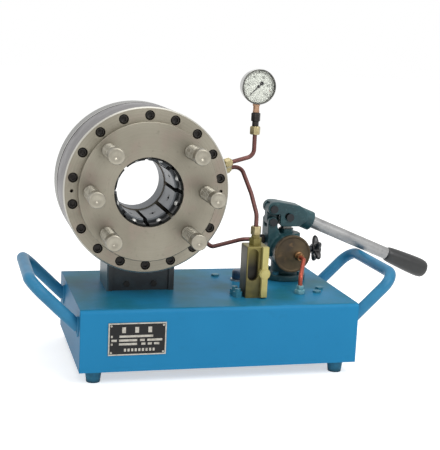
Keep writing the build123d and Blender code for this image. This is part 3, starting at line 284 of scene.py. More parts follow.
plate_x, plate_z, plate_front = -27.0, -240.0, -73.2
plate_wide, plate_high = 100.0, 57.0
plate_black = Finish("plate_black", tone(16, 16, 17), 0.5)
plate_black.tint(plate_black.between(plate_black.cloud(90, 5), 0.5, 0.8, 0.0, 0.5), tone(34, 34, 36))
plate_black.set(Specular_IOR_Level=0.3)
dress(plate_black, "nameplate")
plate_silver = Finish("plate_silver", tone(186, 182, 172), 0.45, 0.35)
plate_silver.tint(plate_silver.between(plate_silver.cloud(200, 4), 0.45, 0.75, 0.0, 0.8), tone(136, 130, 120))
edge_width = 2.2
reach_x, reach_z = (plate_wide - edge_width) / 2, (plate_high - edge_width) / 2
edges = []
for side in (-1, 1):
    edges.append(block(
        (plate_x - plate_wide / 2, plate_front - 0.3, plate_z + side * reach_z - edge_width / 2),
        (plate_x + plate_wide / 2, plate_front + 0.3, plate_z + side * reach_z + edge_width / 2)))
    edges.append(block(
        (plate_x + side * reach_x - edge_width / 2, plate_front - 0.3, plate_z - reach_z + edge_width / 2),
        (plate_x + side * reach_x + edge_width / 2, plate_front + 0.3, plate_z + reach_z - edge_width / 2)))
rows = (
    (16.0, 10.0, ((-23.5, 6.5), (-1.0, 6.5), (21.5, 6.5))),
    (4.8, 3.8, ((-44.0, 3.0), (-2.0, 58.0))),
    (-2.2, 3.8, ((-40.0, 9.0), (-16.0, 31.0), (8.5, 8.0), (30.0, 26.0))),
    (-8.8, 3.8, ((-44.0, 3.0), (-16.0, 31.0), (10.5, 7.0), (21.5, 7.0), (33.5, 9.0))),
    (-19.2, 5.0, tuple((-21.0 + 6.2 * step, 3.6) for step in range(9))),
)
for rise, height, bars in rows:
    for offset, width in bars:
        edges.append(block(
            (plate_x + offset - width / 2, plate_front - 0.12, plate_z + rise - height / 2),
            (plate_x + offset + width / 2, plate_front + 0.3, plate_z + rise + height / 2)))
add_piece("nameplate_print", shell(*edges), plate_silver, "machine")
dress(plate_silver, "nameplate_rivets")


# ---- Saddle ----------------------------------------------------------------------------------------
# Two cheeks and a web welded up from plate, turned out to the head's radius and painted blue-black.

saddle_black = Finish("saddle_black", tone(28, 31, 33), 0.36)
saddle_black.tint(saddle_black.between(saddle_black.cloud(24, 5), 0.42, 0.72, 0.0, 0.8), tone(50, 64, 68))
# The left cheek is painted a lighter teal grey: a painted highlight where light falls on that cheek of the
# blue-black saddle.
left_cheek_painted_light = saddle_black.between(saddle_black.axis("X"), -0.0575, -0.0615)
saddle_black.tint(saddle_black.math("MULTIPLY", left_cheek_painted_light, 0.7), tone(58, 92, 106))
saddle_black.bump(saddle_black.cloud(260, 4), 0.0002, 0.5)
dress(saddle_black, "head_saddle")
black_oxide = Finish("black_oxide", tone(36, 34, 32), 0.46, 0.55)
black_oxide.tint(black_oxide.between(black_oxide.cloud(300, 4), 0.5, 0.8, 0.0, 0.7), tone(70, 62, 54))
dress(black_oxide, "saddle_bolts", "port_fittings")


# ---- Crimping head ---------------------------------------------------------------------------------
# The covers and the barrel are turned from forged steel and dull-nickelled, so the front carries fine
# concentric marks and cloudy patches. The chamfers and a line on the rear rim carry painted highlights;
# the rim sides, the barrel's darker grey and the grooves carry painted shade.

class Turned(Finish):
    """Steel turned on the crimp axis: marks that follow the tool round faces and along the barrel."""

    def radius(self):
        """Distance from the crimp axis."""
        squares = [self.math("POWER", self.math("ABSOLUTE", self.axis(letter)), 2.0) for letter in "XZ"]
        return self.math("SQRT", self.math("ADD", *squares))

    def marks(self, scale, detail=2.0):
        """Noise of the radius and of the distance along the axis alone."""
        node = self.tree.nodes.new("ShaderNodeCombineXYZ")
        self.tree.links.new(self.radius(), node.inputs["X"])
        self.tree.links.new(self.axis("Y"), node.inputs["Y"])
        return self.cloud(scale, detail, place=node.outputs[0])


def cover_steel(name):
    """Nickelled cover: clouded faces and fine turning marks."""
    steel = Turned(name, tone(152, 147, 133), 0.4, 0.8)
    steel.tint(steel.between(steel.cloud(11, 4), 0.32, 0.7, 0.0, 0.8), tone(128, 122, 109))
    steel.tint(steel.between(steel.cloud(26, 3), 0.5, 0.7, 0.0, 0.6), tone(146, 132, 122))
    steel.tint(steel.between(steel.marks(900), 0.45, 0.75, 0.0, 0.35), tone(112, 108, 98))
    steel.tint(steel.between(steel.cloud(120, 5), 0.6, 0.78, 0.0, 0.4), tone(100, 95, 82))
    steel.gloss(steel.marks(1500, 3), 0.34, 0.5).bump(steel.marks(2600), 0.00006, 0.35)
    return steel


front_steel = cover_steel("front_steel")
# The front cover's rim side is painted darker, painted shade, and its chamfer is painted light, a painted
# highlight.
rim_side_painted_shade = front_steel.math("MULTIPLY", front_steel.between(front_steel.radius(), 0.1462, 0.1466),
                             front_steel.between(front_steel.axis("Y"), 0.0205, 0.0215))
front_steel.tint(rim_side_painted_shade, tone(104, 101, 102))
chamfer_painted_highlight = front_steel.math("MULTIPLY", front_steel.between(front_steel.radius(), 0.1446, 0.145),
                           front_steel.between(front_steel.axis("Y"), 0.0205, 0.0195))
front_steel.tint(chamfer_painted_highlight, tone(188, 186, 178))
dress(front_steel, "front_cover")
rear_steel = cover_steel("rear_steel")
rear_steel.tint(rear_steel.between(rear_steel.radius(), 0.0506, 0.0502), tone(84, 89, 94))
# The rear cover's rim side is painted darker, painted shade, with a painted highlight line along its front edge;
# the part in front of the groove wall is painted near-black, painted shade in the groove.
rear_rim_shade_and_highlight = rear_steel.between(rear_steel.radius(), 0.1464, 0.1467)
rear_steel.tint(rear_rim_shade_and_highlight, tone(136, 136, 133))
rear_rim_painted_highlight = rear_steel.between(rear_steel.axis("Y"), 0.1235, 0.1225)
rear_steel.tint(rear_steel.math("MULTIPLY", rear_rim_shade_and_highlight, rear_rim_painted_highlight), tone(196, 194, 190))
groove_wall_painted_shade = rear_steel.between(rear_steel.axis("Y"), 0.1186, 0.1183)
rear_steel.tint(groove_wall_painted_shade, tone(36, 35, 35))
dress(rear_steel, "rear_cover", "plunger")
# The barrel is the covers' steel painted a darker grey: painted shade on the barrel's side. The recess at its rear
# end is painted near-black, painted shade in the groove.
barrel_shaded_steel = Turned("barrel_shaded_steel", tone(112, 109, 110), 0.4, 0.8)
barrel_shaded_steel.tint(barrel_shaded_steel.between(barrel_shaded_steel.marks(500), 0.4, 0.7, 0.0, 0.6), tone(90, 88, 89))
barrel_groove_painted_shade = barrel_shaded_steel.math("MULTIPLY", barrel_shaded_steel.between(barrel_shaded_steel.radius(), 0.1466, 0.1464),
                           barrel_shaded_steel.between(barrel_shaded_steel.axis("Y"), 0.1115, 0.1119))
barrel_shaded_steel.tint(barrel_groove_painted_shade, tone(30, 29, 29))
barrel_shaded_steel.gloss(barrel_shaded_steel.cloud(30), 0.3, 0.5).bump(barrel_shaded_steel.marks(2600), 0.00008, 0.4)
dress(barrel_shaded_steel, "cylinder_barrel")
piston_steel = Turned("piston_steel", tone(110, 110, 108), 0.34, 0.9)
piston_steel.bump(piston_steel.marks(2000), 0.00006, 0.3)
dress(piston_steel, "piston")
seal_rubber = Finish("seal_rubber", tone(24, 24, 26), 0.6)
dress(seal_rubber, "piston_seals")


# ---- Cover screws ----------------------------------------------------------------------------------
# M10 socket-head cap screws, black oxide, with a knurled head that is sunk in its counterbore and a
# hexagon socket. Eighteen close the front, nine the rear.

forward, backward, upward = (0, -1, 0), (0, 1, 0), (0, 0, 1)


def frame_about(point, along):
    """Origin and two directions across an axis, turning right-handed about it."""
    along = np.array(along, dtype=float)
    along /= np.linalg.norm(along)
    guide = np.array((0.0, 0.0, 1.0)) if abs(along[2]) < 0.9 else np.array((1.0, 0.0, 0.0))
    side = np.cross(guide, along)
    side /= np.linalg.norm(side)
    return np.array(point, dtype=float), along, side, np.cross(along, side)


def lathe(profile, point, along, points=48, shape=None):
    """Rings turned from (distance, radius) pairs: place + distance * axis + radius * direction(angle).

    shape(angle, ring) multiplies the radius, for a hexagon, knurl or lobes; both come as a grid.
    """
    origin, axis, side, other = frame_about(point, along)
    distance, radius = np.array(profile, dtype=float).T
    turn, ring = np.meshgrid(np.linspace(0, 2 * np.pi, points, endpoint=False), np.arange(len(profile)))
    reach = radius[:, None] * (shape(turn, ring) if shape else 1 + 0 * turn)
    across = np.cos(turn)[..., None] * side + np.sin(turn)[..., None] * other
    return origin + distance[:, None, None] * axis + reach[..., None] * across


def hexagon(turn):
    """A hexagon's radius over that of the circle inside it, one over the cosine from each flat's middle."""
    return 1 / np.cos((turn + np.pi / 6) % (np.pi / 3) - np.pi / 6)


def cap_screw(point, along):
    """Knurled head with a sunk hexagon socket; the point lies under the head."""
    profile = [(0.2, 7.4), (0.6, 7.9), (8.0, 7.9), (8.6, 7.7), (9.6, 7.0), (10.0, 6.4), (10.0, 5.0),
               (9.7, 4.35), (5.2, 4.0), (4.8, 2.0), (4.6, 0.4)]

    def form(turn, ring):
        """Knurls on the head's side, flats in its socket."""
        knurl = np.where((ring == 1) | (ring == 2), 1 + 0.018 * np.sign(np.sin(turn * 30)), 1.0)
        return np.where((ring == 7) | (ring == 8), hexagon(turn), knurl)

    return lathe(profile, point, along, 120, form)


def round_axis(count, radius, y, start=90.0):
    """Places on a circle about the crimp axis."""
    angles = np.radians(start + np.arange(count) * 360 / count)
    return [(radius * math.cos(a), y, radius * math.sin(a)) for a in angles]


screw_circle = 132.5
front_screws = [cap_screw(place, forward) for place in round_axis(18, screw_circle, 27.5)]
add_piece("front_cap_screws", shell(*front_screws), black_oxide, "machine", ("cover_screws",))
rear_screws = [cap_screw(place, backward) for place in round_axis(9, screw_circle, 154.5)]
add_piece("rear_cap_screws", shell(*rear_screws), black_oxide, "machine",
          ("rear_cover_screws",))


# ---- Return bolts and springs ----------------------------------------------------------------------
# Six shouldered bolts pull the piston open again. Their heads are turned and nickelled like the
# covers, and each one traps a spring of oil-tempered wire with ground ends against the front cover.

return_circle = 102.0
return_angles = (0, 45, 135, 180, 225, 315)
bolt_steel = Finish("bolt_steel", tone(158, 153, 140), 0.34, 0.8)
bolt_steel.tint(bolt_steel.between(bolt_steel.cloud(60, 4), 0.4, 0.72, 0.0, 0.6), tone(130, 125, 113))
bolt_steel.bump(bolt_steel.cloud(900, 2, (0.2, 6, 0.2)), 0.00004, 0.4)
return_places = [(return_circle * math.cos(turn), return_circle * math.sin(turn))
                 for turn in map(math.radians, return_angles)]
piston_face_y = 76
bolts = []
for x, z in return_places:
    bolts.append(lathe([
        (0, 8), (140, 8), (140.05, 13.2), (140.6, 14), (157.6, 14), (158.6, 13.8), (159.5, 13.1), (160, 12.0),
        (160, 4.2), (159.4, 3.4), (158.6, 0.4)], (x, piston_face_y, z), forward, 64))
add_piece("return_bolt_set", shell(*bolts), bolt_steel, "piston_unit", ("return_bolts",))

spring_wire = 1.9
spring_radius = 11.2
spring_length = 64.0
spring_steel = Finish("spring_steel", tone(150, 146, 134), 0.34, 0.9)
spring_steel.tint(spring_steel.between(spring_steel.cloud(220, 4), 0.45, 0.75, 0.0, 0.8), tone(96, 88, 74))
coils = []
travel = np.linspace(0, 1, 420)
turns = 8.0
pitch_share = np.interp(travel, [0, 0.12, 0.88, 1], [0, 0.045, 0.955, 1])
for x, z in return_places:
    phase = travel * turns * 2 * np.pi
    line = np.stack([
        x + spring_radius * np.cos(phase),
        -spring_wire - pitch_share * (spring_length - 2 * spring_wire),
        z + spring_radius * np.sin(phase)], axis=1)
    ahead = np.gradient(line, axis=0)
    ahead /= np.linalg.norm(ahead, axis=1)[:, None]
    outward = np.stack([np.cos(phase), 0 * phase, np.sin(phase)], axis=1)
    third = np.cross(ahead, outward)
    bend = np.linspace(0, 2 * np.pi, 12, endpoint=False)
    coils.append(line[:, None] + spring_wire * (
        np.cos(bend)[None, :, None] * outward[:, None] + np.sin(bend)[None, :, None] * third[:, None]))
springs = add_piece("return_spring_set", shell(*coils), spring_steel, "machine",
                    ("return_springs",), crease=60)
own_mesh(springs)


# ---- Dies ------------------------------------------------------------------------------------------
# Eight hardened segments, ground grey in the grip and blackened at the nose. A bright ball in each
# nose snaps into the tool that swaps the die sets.

die_steel = Turned("die_steel", tone(112, 116, 120), 0.36, 0.8)
die_steel.tint(die_steel.between(die_steel.cloud(70, 4), 0.4, 0.75, 0.0, 0.5), tone(84, 88, 92))
turned_to = die_steel.math("ARCTAN2", die_steel.axis("Z"), die_steel.axis("X"))
share = die_steel.math("FRACT", die_steel.math("DIVIDE", turned_to, math.pi / 4))
off_middle = die_steel.math("ABSOLUTE", die_steel.math("SUBTRACT", share, 0.5))
off_slot = die_steel.math("ABSOLUTE", die_steel.axis("Y", 0.066))
# Near-black marks in the middle of each die's grip face, where the slots are: painted shade of the slots.
slot_painted_shade = die_steel.math("MULTIPLY", die_steel.between(off_middle, 0.155, 0.140),
                           die_steel.between(off_slot, 0.0045, 0.0036))
slot_painted_shade = die_steel.math("MULTIPLY", slot_painted_shade, die_steel.between(die_steel.radius(), 0.0545, 0.0535))
die_steel.tint(slot_painted_shade, tone(22, 22, 22))
nose = die_steel.between(die_steel.axis("Y"), 0.0305, 0.0295)
die_steel.tint(nose, tone(30, 31, 31)).gloss(die_steel.marks(900), 0.3, 0.48)
# The balls get a near-white, barely metallic colour: a painted highlight standing in for the polished steel's
# glint.
ball_white_glint = Finish("ball_white_glint", tone(246, 246, 242), 0.25, 0.15)
ball_white_glint.tint(ball_white_glint.between(ball_white_glint.cloud(300, 3), 0.55, 0.75, 0.0, 0.4), tone(190, 190, 186))
ball_radius, ball_circle, ball_y = 5.2, 59.0, 20.2
arc = np.linspace(-1.53, 1.53, 15)
ball_profile = ball_radius * np.stack([np.sin(arc), np.cos(arc)], axis=1)
for index in range(8):
    dress(die_steel, f"die_{index + 1}")
    angle = math.radians(67.5 - 45 * index)
    ball = lathe(ball_profile, (ball_circle * math.cos(angle), ball_y, ball_circle * math.sin(angle)), forward, 24)
    add_piece(f"detent_ball_{index + 1}", shell(ball), ball_white_glint, f"die_{index + 1}", crease=60)


# ---- Gauge -----------------------------------------------------------------------------------------
# A 60 mm Bourdon gauge: pressed steel case with a polished bezel, white dial with a printed scale,
# black pointer and a slightly domed glass.

gauge = np.array((205.0, 64.0, 185.0))
bezel_steel = Finish("bezel_steel", tone(186, 186, 184), 0.2, 0.95)
bezel_steel.tint(bezel_steel.between(bezel_steel.cloud(60, 4), 0.4, 0.75, 0.0, 0.5), tone(140, 140, 138))
case = lathe([
    (-13, 3), (-13, 26), (-12.2, 28), (-11, 29.4), (6, 29.4), (6.2, 31), (6.8, 31.8), (8, 32), (11.2, 32),
    (12.4, 31.7), (12.8, 31.2), (12.2, 30.8), (6.4, 30.4), (5.6, 30), (5.4, 3)], gauge, forward, 96)
add_piece("gauge_body", shell(case), bezel_steel, "machine", ("gauge_case",))
ring_grey = Finish("ring_grey", tone(84, 84, 80), 0.34, 0.7)
ring_grey.tint(ring_grey.between(ring_grey.cloud(40, 4), 0.45, 0.7, 0.0, 0.8), tone(128, 128, 122))
ring = lathe([
    (6.5, 29.0), (6.5, 30.6), (12.4, 31.0), (13.0, 30.6), (13.0, 29.4), (12.2, 28.9)], gauge, forward, 96)
add_piece("gauge_ring", shell(ring, closed=True), ring_grey, "machine")
stem_brass = Finish("stem_brass", tone(186, 150, 122), 0.36, 0.7)
stem_brass.tint(stem_brass.between(stem_brass.cloud(160, 4), 0.4, 0.7, 0.0, 0.8), tone(144, 108, 84))
stem = lathe([(0, 5.2), (0.5, 6.1), (3.4, 6.1), (3.6, 5.7), (12, 5.7), (12.4, 6.8), (18, 6.8), (18.4, 6)],
             gauge - (0, 0, 47), upward, 32)
add_piece("gauge_stem", shell(stem), stem_brass, "machine")

dial_white = Finish("dial_white", tone(222, 225, 214), 0.5)
dial_white.tint(dial_white.between(dial_white.cloud(30, 3), 0.4, 0.7, 0.0, 0.5), tone(206, 211, 202))
dial = lathe([(5.5, 28.9), (6.9, 28.9), (7.0, 28.6), (7.0, 1.2), (5.5, 1.2)], gauge, forward, 96)
add_piece("gauge_dial_plate", shell(dial, closed=True), dial_white, "machine", ("gauge_dial",))

print_black = Finish("print_black", tone(24, 24, 26), 0.5)
print_red = Finish("print_red", tone(178, 40, 36), 0.5)


def scale_angle(value):
    """Direction of a value from 0 to 100, which goes clockwise round three quarters of a turn."""
    return math.radians(225 - value * 2.7)


def stroke(value, inner, outer, width):
    """Flat stroke along the radius of a value, proud of the dial."""
    angle = scale_angle(value)
    out = np.array((math.cos(angle), 0, math.sin(angle)))
    across = np.array((-math.sin(angle), 0, math.cos(angle))) * width
    ring = gauge + np.array([
        out * inner - across, out * outer - across, out * outer + across, out * inner + across])
    return np.stack([ring + (0, -6.9, 0), ring + (0, -7.12, 0)])


tens = [stroke(value, 23.4, 27.6, 0.36) for value in range(0, 101, 10)]
fives = [stroke(value, 24.8, 27.6, 0.24) for value in range(5, 100, 10)]
ones = [stroke(value, 25.8, 27.6, 0.15) for value in range(0, 101) if value % 5]
strokes = tens + fives + ones
add_piece("gauge_scale", shell(*strokes), print_black, "machine")
add_piece("gauge_limit_mark", shell(stroke(90, 21.8, 27.6, 0.4)), print_red, "machine")
number_circle = 18.9
for value in range(0, 101, 20):
    letters = bpy.data.curves.new(f"gauge_number_{value}", "FONT")
    letters.body = str(value)
    letters.size = 6.2 * mm
    letters.align_x = "CENTER"
    letters.align_y = "CENTER"
    letters.extrude = 0.06 * mm
    angle = scale_angle(value)
    stand = bpy.data.objects.new("lettering", letters)
    mesh = bpy.data.meshes.new_from_object(stand)
    bpy.data.objects.remove(stand)
    place = gauge + (number_circle * math.cos(angle), -7.05, number_circle * math.sin(angle))
    mesh.transform(Matrix.Translation(Vector(place * mm)) @ Matrix.Rotation(math.pi / 2, 4, "X"))
    mesh.materials.clear()
    mesh.materials.append(print_black.material)
    number = bpy.data.objects.new(f"gauge_number_{value}", mesh)
    bpy.context.scene.collection.objects.link(number)
    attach(number, "machine")

hub = lathe([(7.3, 2.0), (7.5, 2.4), (8.9, 2.4), (9.3, 2.0), (9.4, 0.4)], gauge, forward, 32)
spindle = lathe([(5.8, 1), (7.4, 1)], gauge, forward, 16)
out = np.array((math.cos(scale_angle(0)), 0, math.sin(scale_angle(0))))
across = np.array((-out[2], 0, out[0]))
weight = lathe([(7.5, 3.2), (7.6, 3.6), (8.3, 3.6), (8.4, 3.2)], gauge - out * 8.6, forward, 32)
needle_line = np.array([
    (-8, -0.9), (3, -0.8), (18, -0.5), (23.4, -0.1), (23.4, 0.1), (18, 0.5), (3, 0.8), (-8, 0.9)])
outline = gauge + needle_line[:, :1] * out + needle_line[:, 1:] * across
pointer = np.stack([outline + (0, -7.6, 0), outline + (0, -8.2, 0)])
add_piece("gauge_pointer", shell(hub, spindle, weight, pointer), print_black, "needle",
          ("gauge_needle",))

gauge_clear = Finish("gauge_clear", (1, 1, 1, 1), 0.03).set(Transmission_Weight=1.0, IOR=1.3)
bulge = np.linspace(np.pi / 2, 0.02, 10)
dome = np.stack([11.2 + 1.2 * np.cos(bulge), 28.8 * np.sin(bulge)], axis=1)
window = lathe([(10.4, 28.8), *dome], gauge, forward, 96)
add_piece("gauge_window", shell(window), gauge_clear, "machine", ("gauge_glass",), crease=50)


# ---- Pipes and their nuts --------------------------------------------------------------------------
# Hard-drawn copper, 8 mm outside, tarnished to a dark red-brown, in compression fittings with brass
# nuts. The short return pipe is newer and still bright.

copper = Finish("aged_copper", tone(112, 72, 66), 0.4, 0.55)
copper.tint(copper.between(copper.cloud(50, 5), 0.35, 0.7, 0.0, 0.8), tone(84, 54, 52))
copper.tint(copper.between(copper.cloud(16, 3), 0.58, 0.75, 0.0, 0.6), tone(126, 60, 54))
dress(copper, "gauge_pipe", "supply_pipe", "pressure_pipe")
fresh_copper = Finish("fresh_copper", tone(172, 80, 60), 0.36, 0.6)
fresh_copper.tint(fresh_copper.between(fresh_copper.cloud(60, 4), 0.45, 0.75, 0.0, 0.6), tone(134, 58, 46))
dress(fresh_copper, "return_pipe")
brass = Finish("dull_brass", tone(176, 164, 124), 0.38, 0.7)
brass.tint(brass.between(brass.cloud(120, 5), 0.4, 0.75, 0.0, 0.7), tone(132, 118, 82))


def hex_nut(point, along, across, length, bore, lead=1.2):
    """Hexagon nut of a width across flats, chamfered at both ends, with a bore right through."""
    flat = across / 2
    profile = [
        (0, bore), (0, flat * 0.97), (lead, flat), (length - lead, flat), (length, flat * 0.97), (length, bore)]

    def form(turn, ring):
        """Flats between the two chamfers."""
        return np.where((ring == 2) | (ring == 3), hexagon(turn), 1.0)

    return lathe(profile, point, along, 72, form)


pipe_bore = 4.1
boss_face = 156.0
ports = ((16.0, 64.0), (11.5, 82.0), (-40.0, 96.0))
nuts = []
for port_angle, port_y in ports:
    out = np.array((math.cos(math.radians(port_angle)), 0, math.sin(math.radians(port_angle))))
    place = out * boss_face + (0, port_y, 0)
    nuts.append(hex_nut(place - out * 5, out, 17.0, 5.0, pipe_bore, 0.8))
    nuts.append(hex_nut(place + out * 0.3, out, 16.6, 11.5, pipe_bore))
    nuts.append(lathe([
        (11.4, pipe_bore), (11.4, 7.2), (14.2, 6.4), (15, 5.2), (15, pipe_bore)], place, out, 48))
valve_connector_top = (198, 5, -76)
for nut_place in (gauge - (0, 0, 87), valve_connector_top):
    nuts.append(hex_nut(nut_place, upward, 17.0, 15.0, pipe_bore))
add_piece("brass_pipe_nuts", shell(*nuts, closed=True), brass, "machine", ("pipe_nuts",))
adapter_bore = 3.0
adapter = [
    hex_nut(gauge - (0, 0, 62.8), upward, 15.0, 15.4, adapter_bore, 1.0),
    hex_nut(gauge - (0, 0, 71.8), upward, 11.0, 9, adapter_bore, 0.6)]
add_piece("gauge_coupling", shell(*adapter, closed=True), black_oxide, "machine", ("gauge_adapter",))


# ---- Valve block -----------------------------------------------------------------------------------
# A milled steel block in olive zinc chromate. The lower part of the deep pocket carries a painted shadow,
# and the lever handle is a flat brass bar on a round boss.

olive_zinc = Finish("olive_zinc", tone(128, 118, 62), 0.42, 0.35)
olive_zinc.tint(olive_zinc.between(olive_zinc.cloud(26, 5), 0.35, 0.7, 0.0, 0.75), tone(88, 78, 42))
grime = olive_zinc.between(olive_zinc.axis("Z"), -0.125, -0.165)
olive_zinc.tint(olive_zinc.math("MULTIPLY", grime, olive_zinc.between(olive_zinc.cloud(40, 4), 0.35, 0.6)),
                tone(82, 78, 44))
# The lower inside of the pocket is painted near-black: a painted shadow in the recess.
pocket = olive_zinc.between(olive_zinc.axis("Y"), -0.0145, -0.0065)
low_part = olive_zinc.between(olive_zinc.axis("Z"), -0.105, -0.135)
inside = olive_zinc.between(olive_zinc.axis("Y"), 0.004, -0.0035)
pocket_painted_shadow = olive_zinc.math("MULTIPLY", olive_zinc.math("MULTIPLY", pocket, low_part), inside)
olive_zinc.tint(pocket_painted_shadow, tone(26, 24, 16))
shaded_side = olive_zinc.between(olive_zinc.axis("X"), 0.1786, 0.1781)
olive_zinc.tint(olive_zinc.math("MULTIPLY", shaded_side, 0.8), tone(52, 46, 36))
olive_zinc.bump(olive_zinc.cloud(700, 3), 0.00008, 0.4)
dress(olive_zinc, "valve_block", "valve_connector")
handle_brass = Finish("handle_brass", tone(186, 176, 112), 0.4, 0.3)
handle_brass.tint(handle_brass.between(handle_brass.cloud(60, 5), 0.4, 0.75, 0.0, 0.6), tone(160, 148, 84))
dress(handle_brass, "valve_handle")


# ---- Hand pump -------------------------------------------------------------------------------------
# An iron casting with the grain of its sand mould, in a dark teal enamel that has gone dull and oily:
# tower, oil chamber, the clevis for the rocker and bosses for the pipe and the release screw.

cast_teal = Finish("cast_teal", tone(38, 78, 84), 0.42)
cast_teal.tint(cast_teal.between(cast_teal.cloud(34, 5), 0.35, 0.7, 0.0, 0.8), tone(22, 50, 56))
cast_teal.tint(cast_teal.between(cast_teal.cloud(110, 5), 0.6, 0.78, 0.0, 0.5), tone(78, 116, 118))
cast_teal.bump(cast_teal.cloud(240, 5), 0.0006, 0.6).bump(cast_teal.cloud(900, 3), 0.0002, 0.4)
cast_teal.set(Specular_IOR_Level=0.4)


def casting(name, node, body, grain=1.5, passes=6):
    """Stands for a CAD casting with its corners rounded as a sand mould leaves them."""
    source = nodes[node].data.copy()
    work = bmesh.new()
    work.from_mesh(source)
    bmesh.ops.remove_doubles(work, verts=work.verts, dist=0.00001)
    work.to_mesh(source)
    work.free()
    piece = bpy.data.objects.new(name, source)
    bpy.context.scene.collection.objects.link(piece)
    remesh = piece.modifiers.new("remesh", "REMESH")
    remesh.mode = "VOXEL"
    remesh.voxel_size = grain * mm
    soften = piece.modifiers.new("soften", "SMOOTH")
    soften.factor = 0.5
    soften.iterations = passes
    made = bpy.data.meshes.new_from_object(piece.evaluated_get(bpy.context.evaluated_depsgraph_get()))
    piece.modifiers.clear()
    piece.data = made
    made.name = name
    made.materials.clear()
    made.materials.append(cast_teal.material)
    made.shade_smooth()
    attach(piece, body)
    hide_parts(node)
    return piece


casting("pump_casting", "pump_body", "machine")
casting("lever_head_casting", "lever_head", "lever", 1.2, 5)
dress(cast_teal, "pump_rocker", "pump_gland")
teal_nuts = Finish("teal_nuts", tone(40, 112, 134), 0.45)
teal_nuts.tint(teal_nuts.between(teal_nuts.cloud(120, 4), 0.45, 0.75, 0.0, 0.7), tone(84, 140, 150))
dress(teal_nuts, "tank_screws", "pump_bolts")
bronze = Finish("oiled_bronze", tone(98, 82, 58), 0.42, 0.6)
bronze.tint(bronze.between(bronze.cloud(26, 5), 0.35, 0.7, 0.0, 0.9), tone(54, 47, 38))
# Lighter patches on the bronze: painted highlights, laid as a cloud.
bronze.tint(bronze.between(bronze.cloud(70, 5), 0.6, 0.8, 0.0, 0.5), tone(150, 118, 80))
bronze.bump(bronze.cloud(300, 4), 0.0002, 0.5)
chamber_mouth = (298, 90, -131)
disc = lathe([
    (0, 20), (0, 35.4), (0.6, 36), (8.2, 36), (9, 35.3), (9, 32.8), (8.3, 32), (8, 30), (8.1, 16), (8.5, 13),
    (8.9, 10), (9, 0.5)], chamber_mouth, forward, 96)
add_piece("bronze_disc", shell(disc), bronze, "machine", ("chamber_cover",))
side_port, leftward = (256, 135, -112), (-1, 0, 0)
side_boss = [
    hex_nut(side_port, leftward, 16.5, 13.6, pipe_bore),
    lathe([(13.5, pipe_bore), (13.5, 7), (14, 6.5), (14, pipe_bore)], side_port, leftward, 40)]
add_piece("pump_side_fitting", shell(*side_boss, closed=True), black_oxide, "machine",
          ("pipe_fittings",))
elbow_brass = Finish("elbow_bronze", tone(150, 112, 74), 0.36, 0.75)
elbow_brass.tint(elbow_brass.between(elbow_brass.cloud(120, 5), 0.4, 0.75, 0.0, 0.8), tone(96, 72, 50))
elbow = [
    lathe([(0, pipe_bore), (0, 8.4), (1.5, 8.8), (4, 8.6), (5, 7), (6, 6.6), (6, pipe_bore)],
          (310, 81, -135), forward, 48),
    hex_nut((310, 75, -135), forward, 13.0, 8.0, pipe_bore, 1.0)]
add_piece("return_elbow", shell(*elbow, closed=True), elbow_brass, "machine")
tank_fitting = [
    hex_nut((290, 8, -189), upward, 17.5, 8.0, pipe_bore),
    hex_nut((290, 8, -181), upward, 12.0, 8.0, pipe_bore, 1.0)]
pale_teal = Finish("pale_teal", tone(96, 156, 168), 0.45)
pale_teal.tint(pale_teal.between(pale_teal.cloud(90, 4), 0.4, 0.7, 0.0, 0.8), tone(136, 172, 172))
add_piece("return_tank_fitting", shell(*tank_fitting, closed=True), pale_teal, "machine")
pin_black = Finish("pin_black", tone(30, 34, 38), 0.4, 0.4)
dress(pin_black, "rocker_pins", "plunger_pin", "release_spindle")


# ---- Lever -----------------------------------------------------------------------------------------
# A galvanised steel tube pressed into the cast head, with a thick moulded rubber grip.

galvanised = Finish("galvanised_tube", tone(164, 164, 163), 0.42, 0.7)
galvanised.tint(galvanised.between(galvanised.cloud(46, 5), 0.35, 0.7, 0.0, 0.7), tone(136, 136, 137))
galvanised.tint(galvanised.between(galvanised.cloud(240, 4), 0.55, 0.75, 0.0, 0.4), tone(108, 108, 108))
dress(galvanised, "lever_tube")
grip_rubber = Finish("grip_rubber", tone(42, 43, 43), 0.42)
grip_rubber.tint(grip_rubber.between(grip_rubber.cloud(60, 5), 0.4, 0.75, 0.0, 0.7), tone(28, 28, 29))
grip_rubber.bump(grip_rubber.cloud(800, 3), 0.0001, 0.5)
lever_slope = math.radians(22)
lever_axis = np.array((math.cos(lever_slope), 0, -math.sin(lever_slope)))
tube_start = np.array((334.0, 135.0, -70.5))
bare_tube, grip_length = 195.0, 96.0
swell = np.array([0, 0.02, 0.05, 0.1, 0.2, 0.32, 0.45, 0.58, 0.7, 0.8, 0.88, 0.93, 0.965, 0.985, 0.995, 1.0])
thick = np.array([12.3, 13.6, 14.6, 15.3, 16.1, 16.9, 17.6, 18.2, 18.6, 18.7, 18.2, 17.2, 15.2, 12.4, 8.4, 0.5])
grip = lathe(np.stack([swell * grip_length, thick], axis=1), tube_start + lever_axis * bare_tube, lever_axis, 64)
add_piece("moulded_grip", shell(grip), grip_rubber, "lever", ("lever_grip",), crease=70)


# ---- Release knob ----------------------------------------------------------------------------------
# A moulded phenolic star knob on the release screw.

knob_black = Finish("knob_black", tone(34, 34, 35), 0.38)
knob_black.bump(knob_black.cloud(300, 4), 0.0002, 0.4).set(Coat_Weight=0.2)
knob_seat = (352, 127, -131)
knob_run = np.array([0, 0.3, 1.4, 3.0, 3.6, 5.0, 7.6, 10.8, 13.4, 15.0, 15.6, 17, 17.8, 18, 17.2])
knob_hub = np.array([8, 9.5, 10.4, 10.6, 10.6, 10.8, 11, 11, 10.8, 10.4, 10, 9.6, 8.6, 5, 0.5])
knob_arm = np.array([0, 0, 0, 0, 9.0, 13.6, 16, 16, 13.6, 9.0, 0, 0, 0, 0, 0])


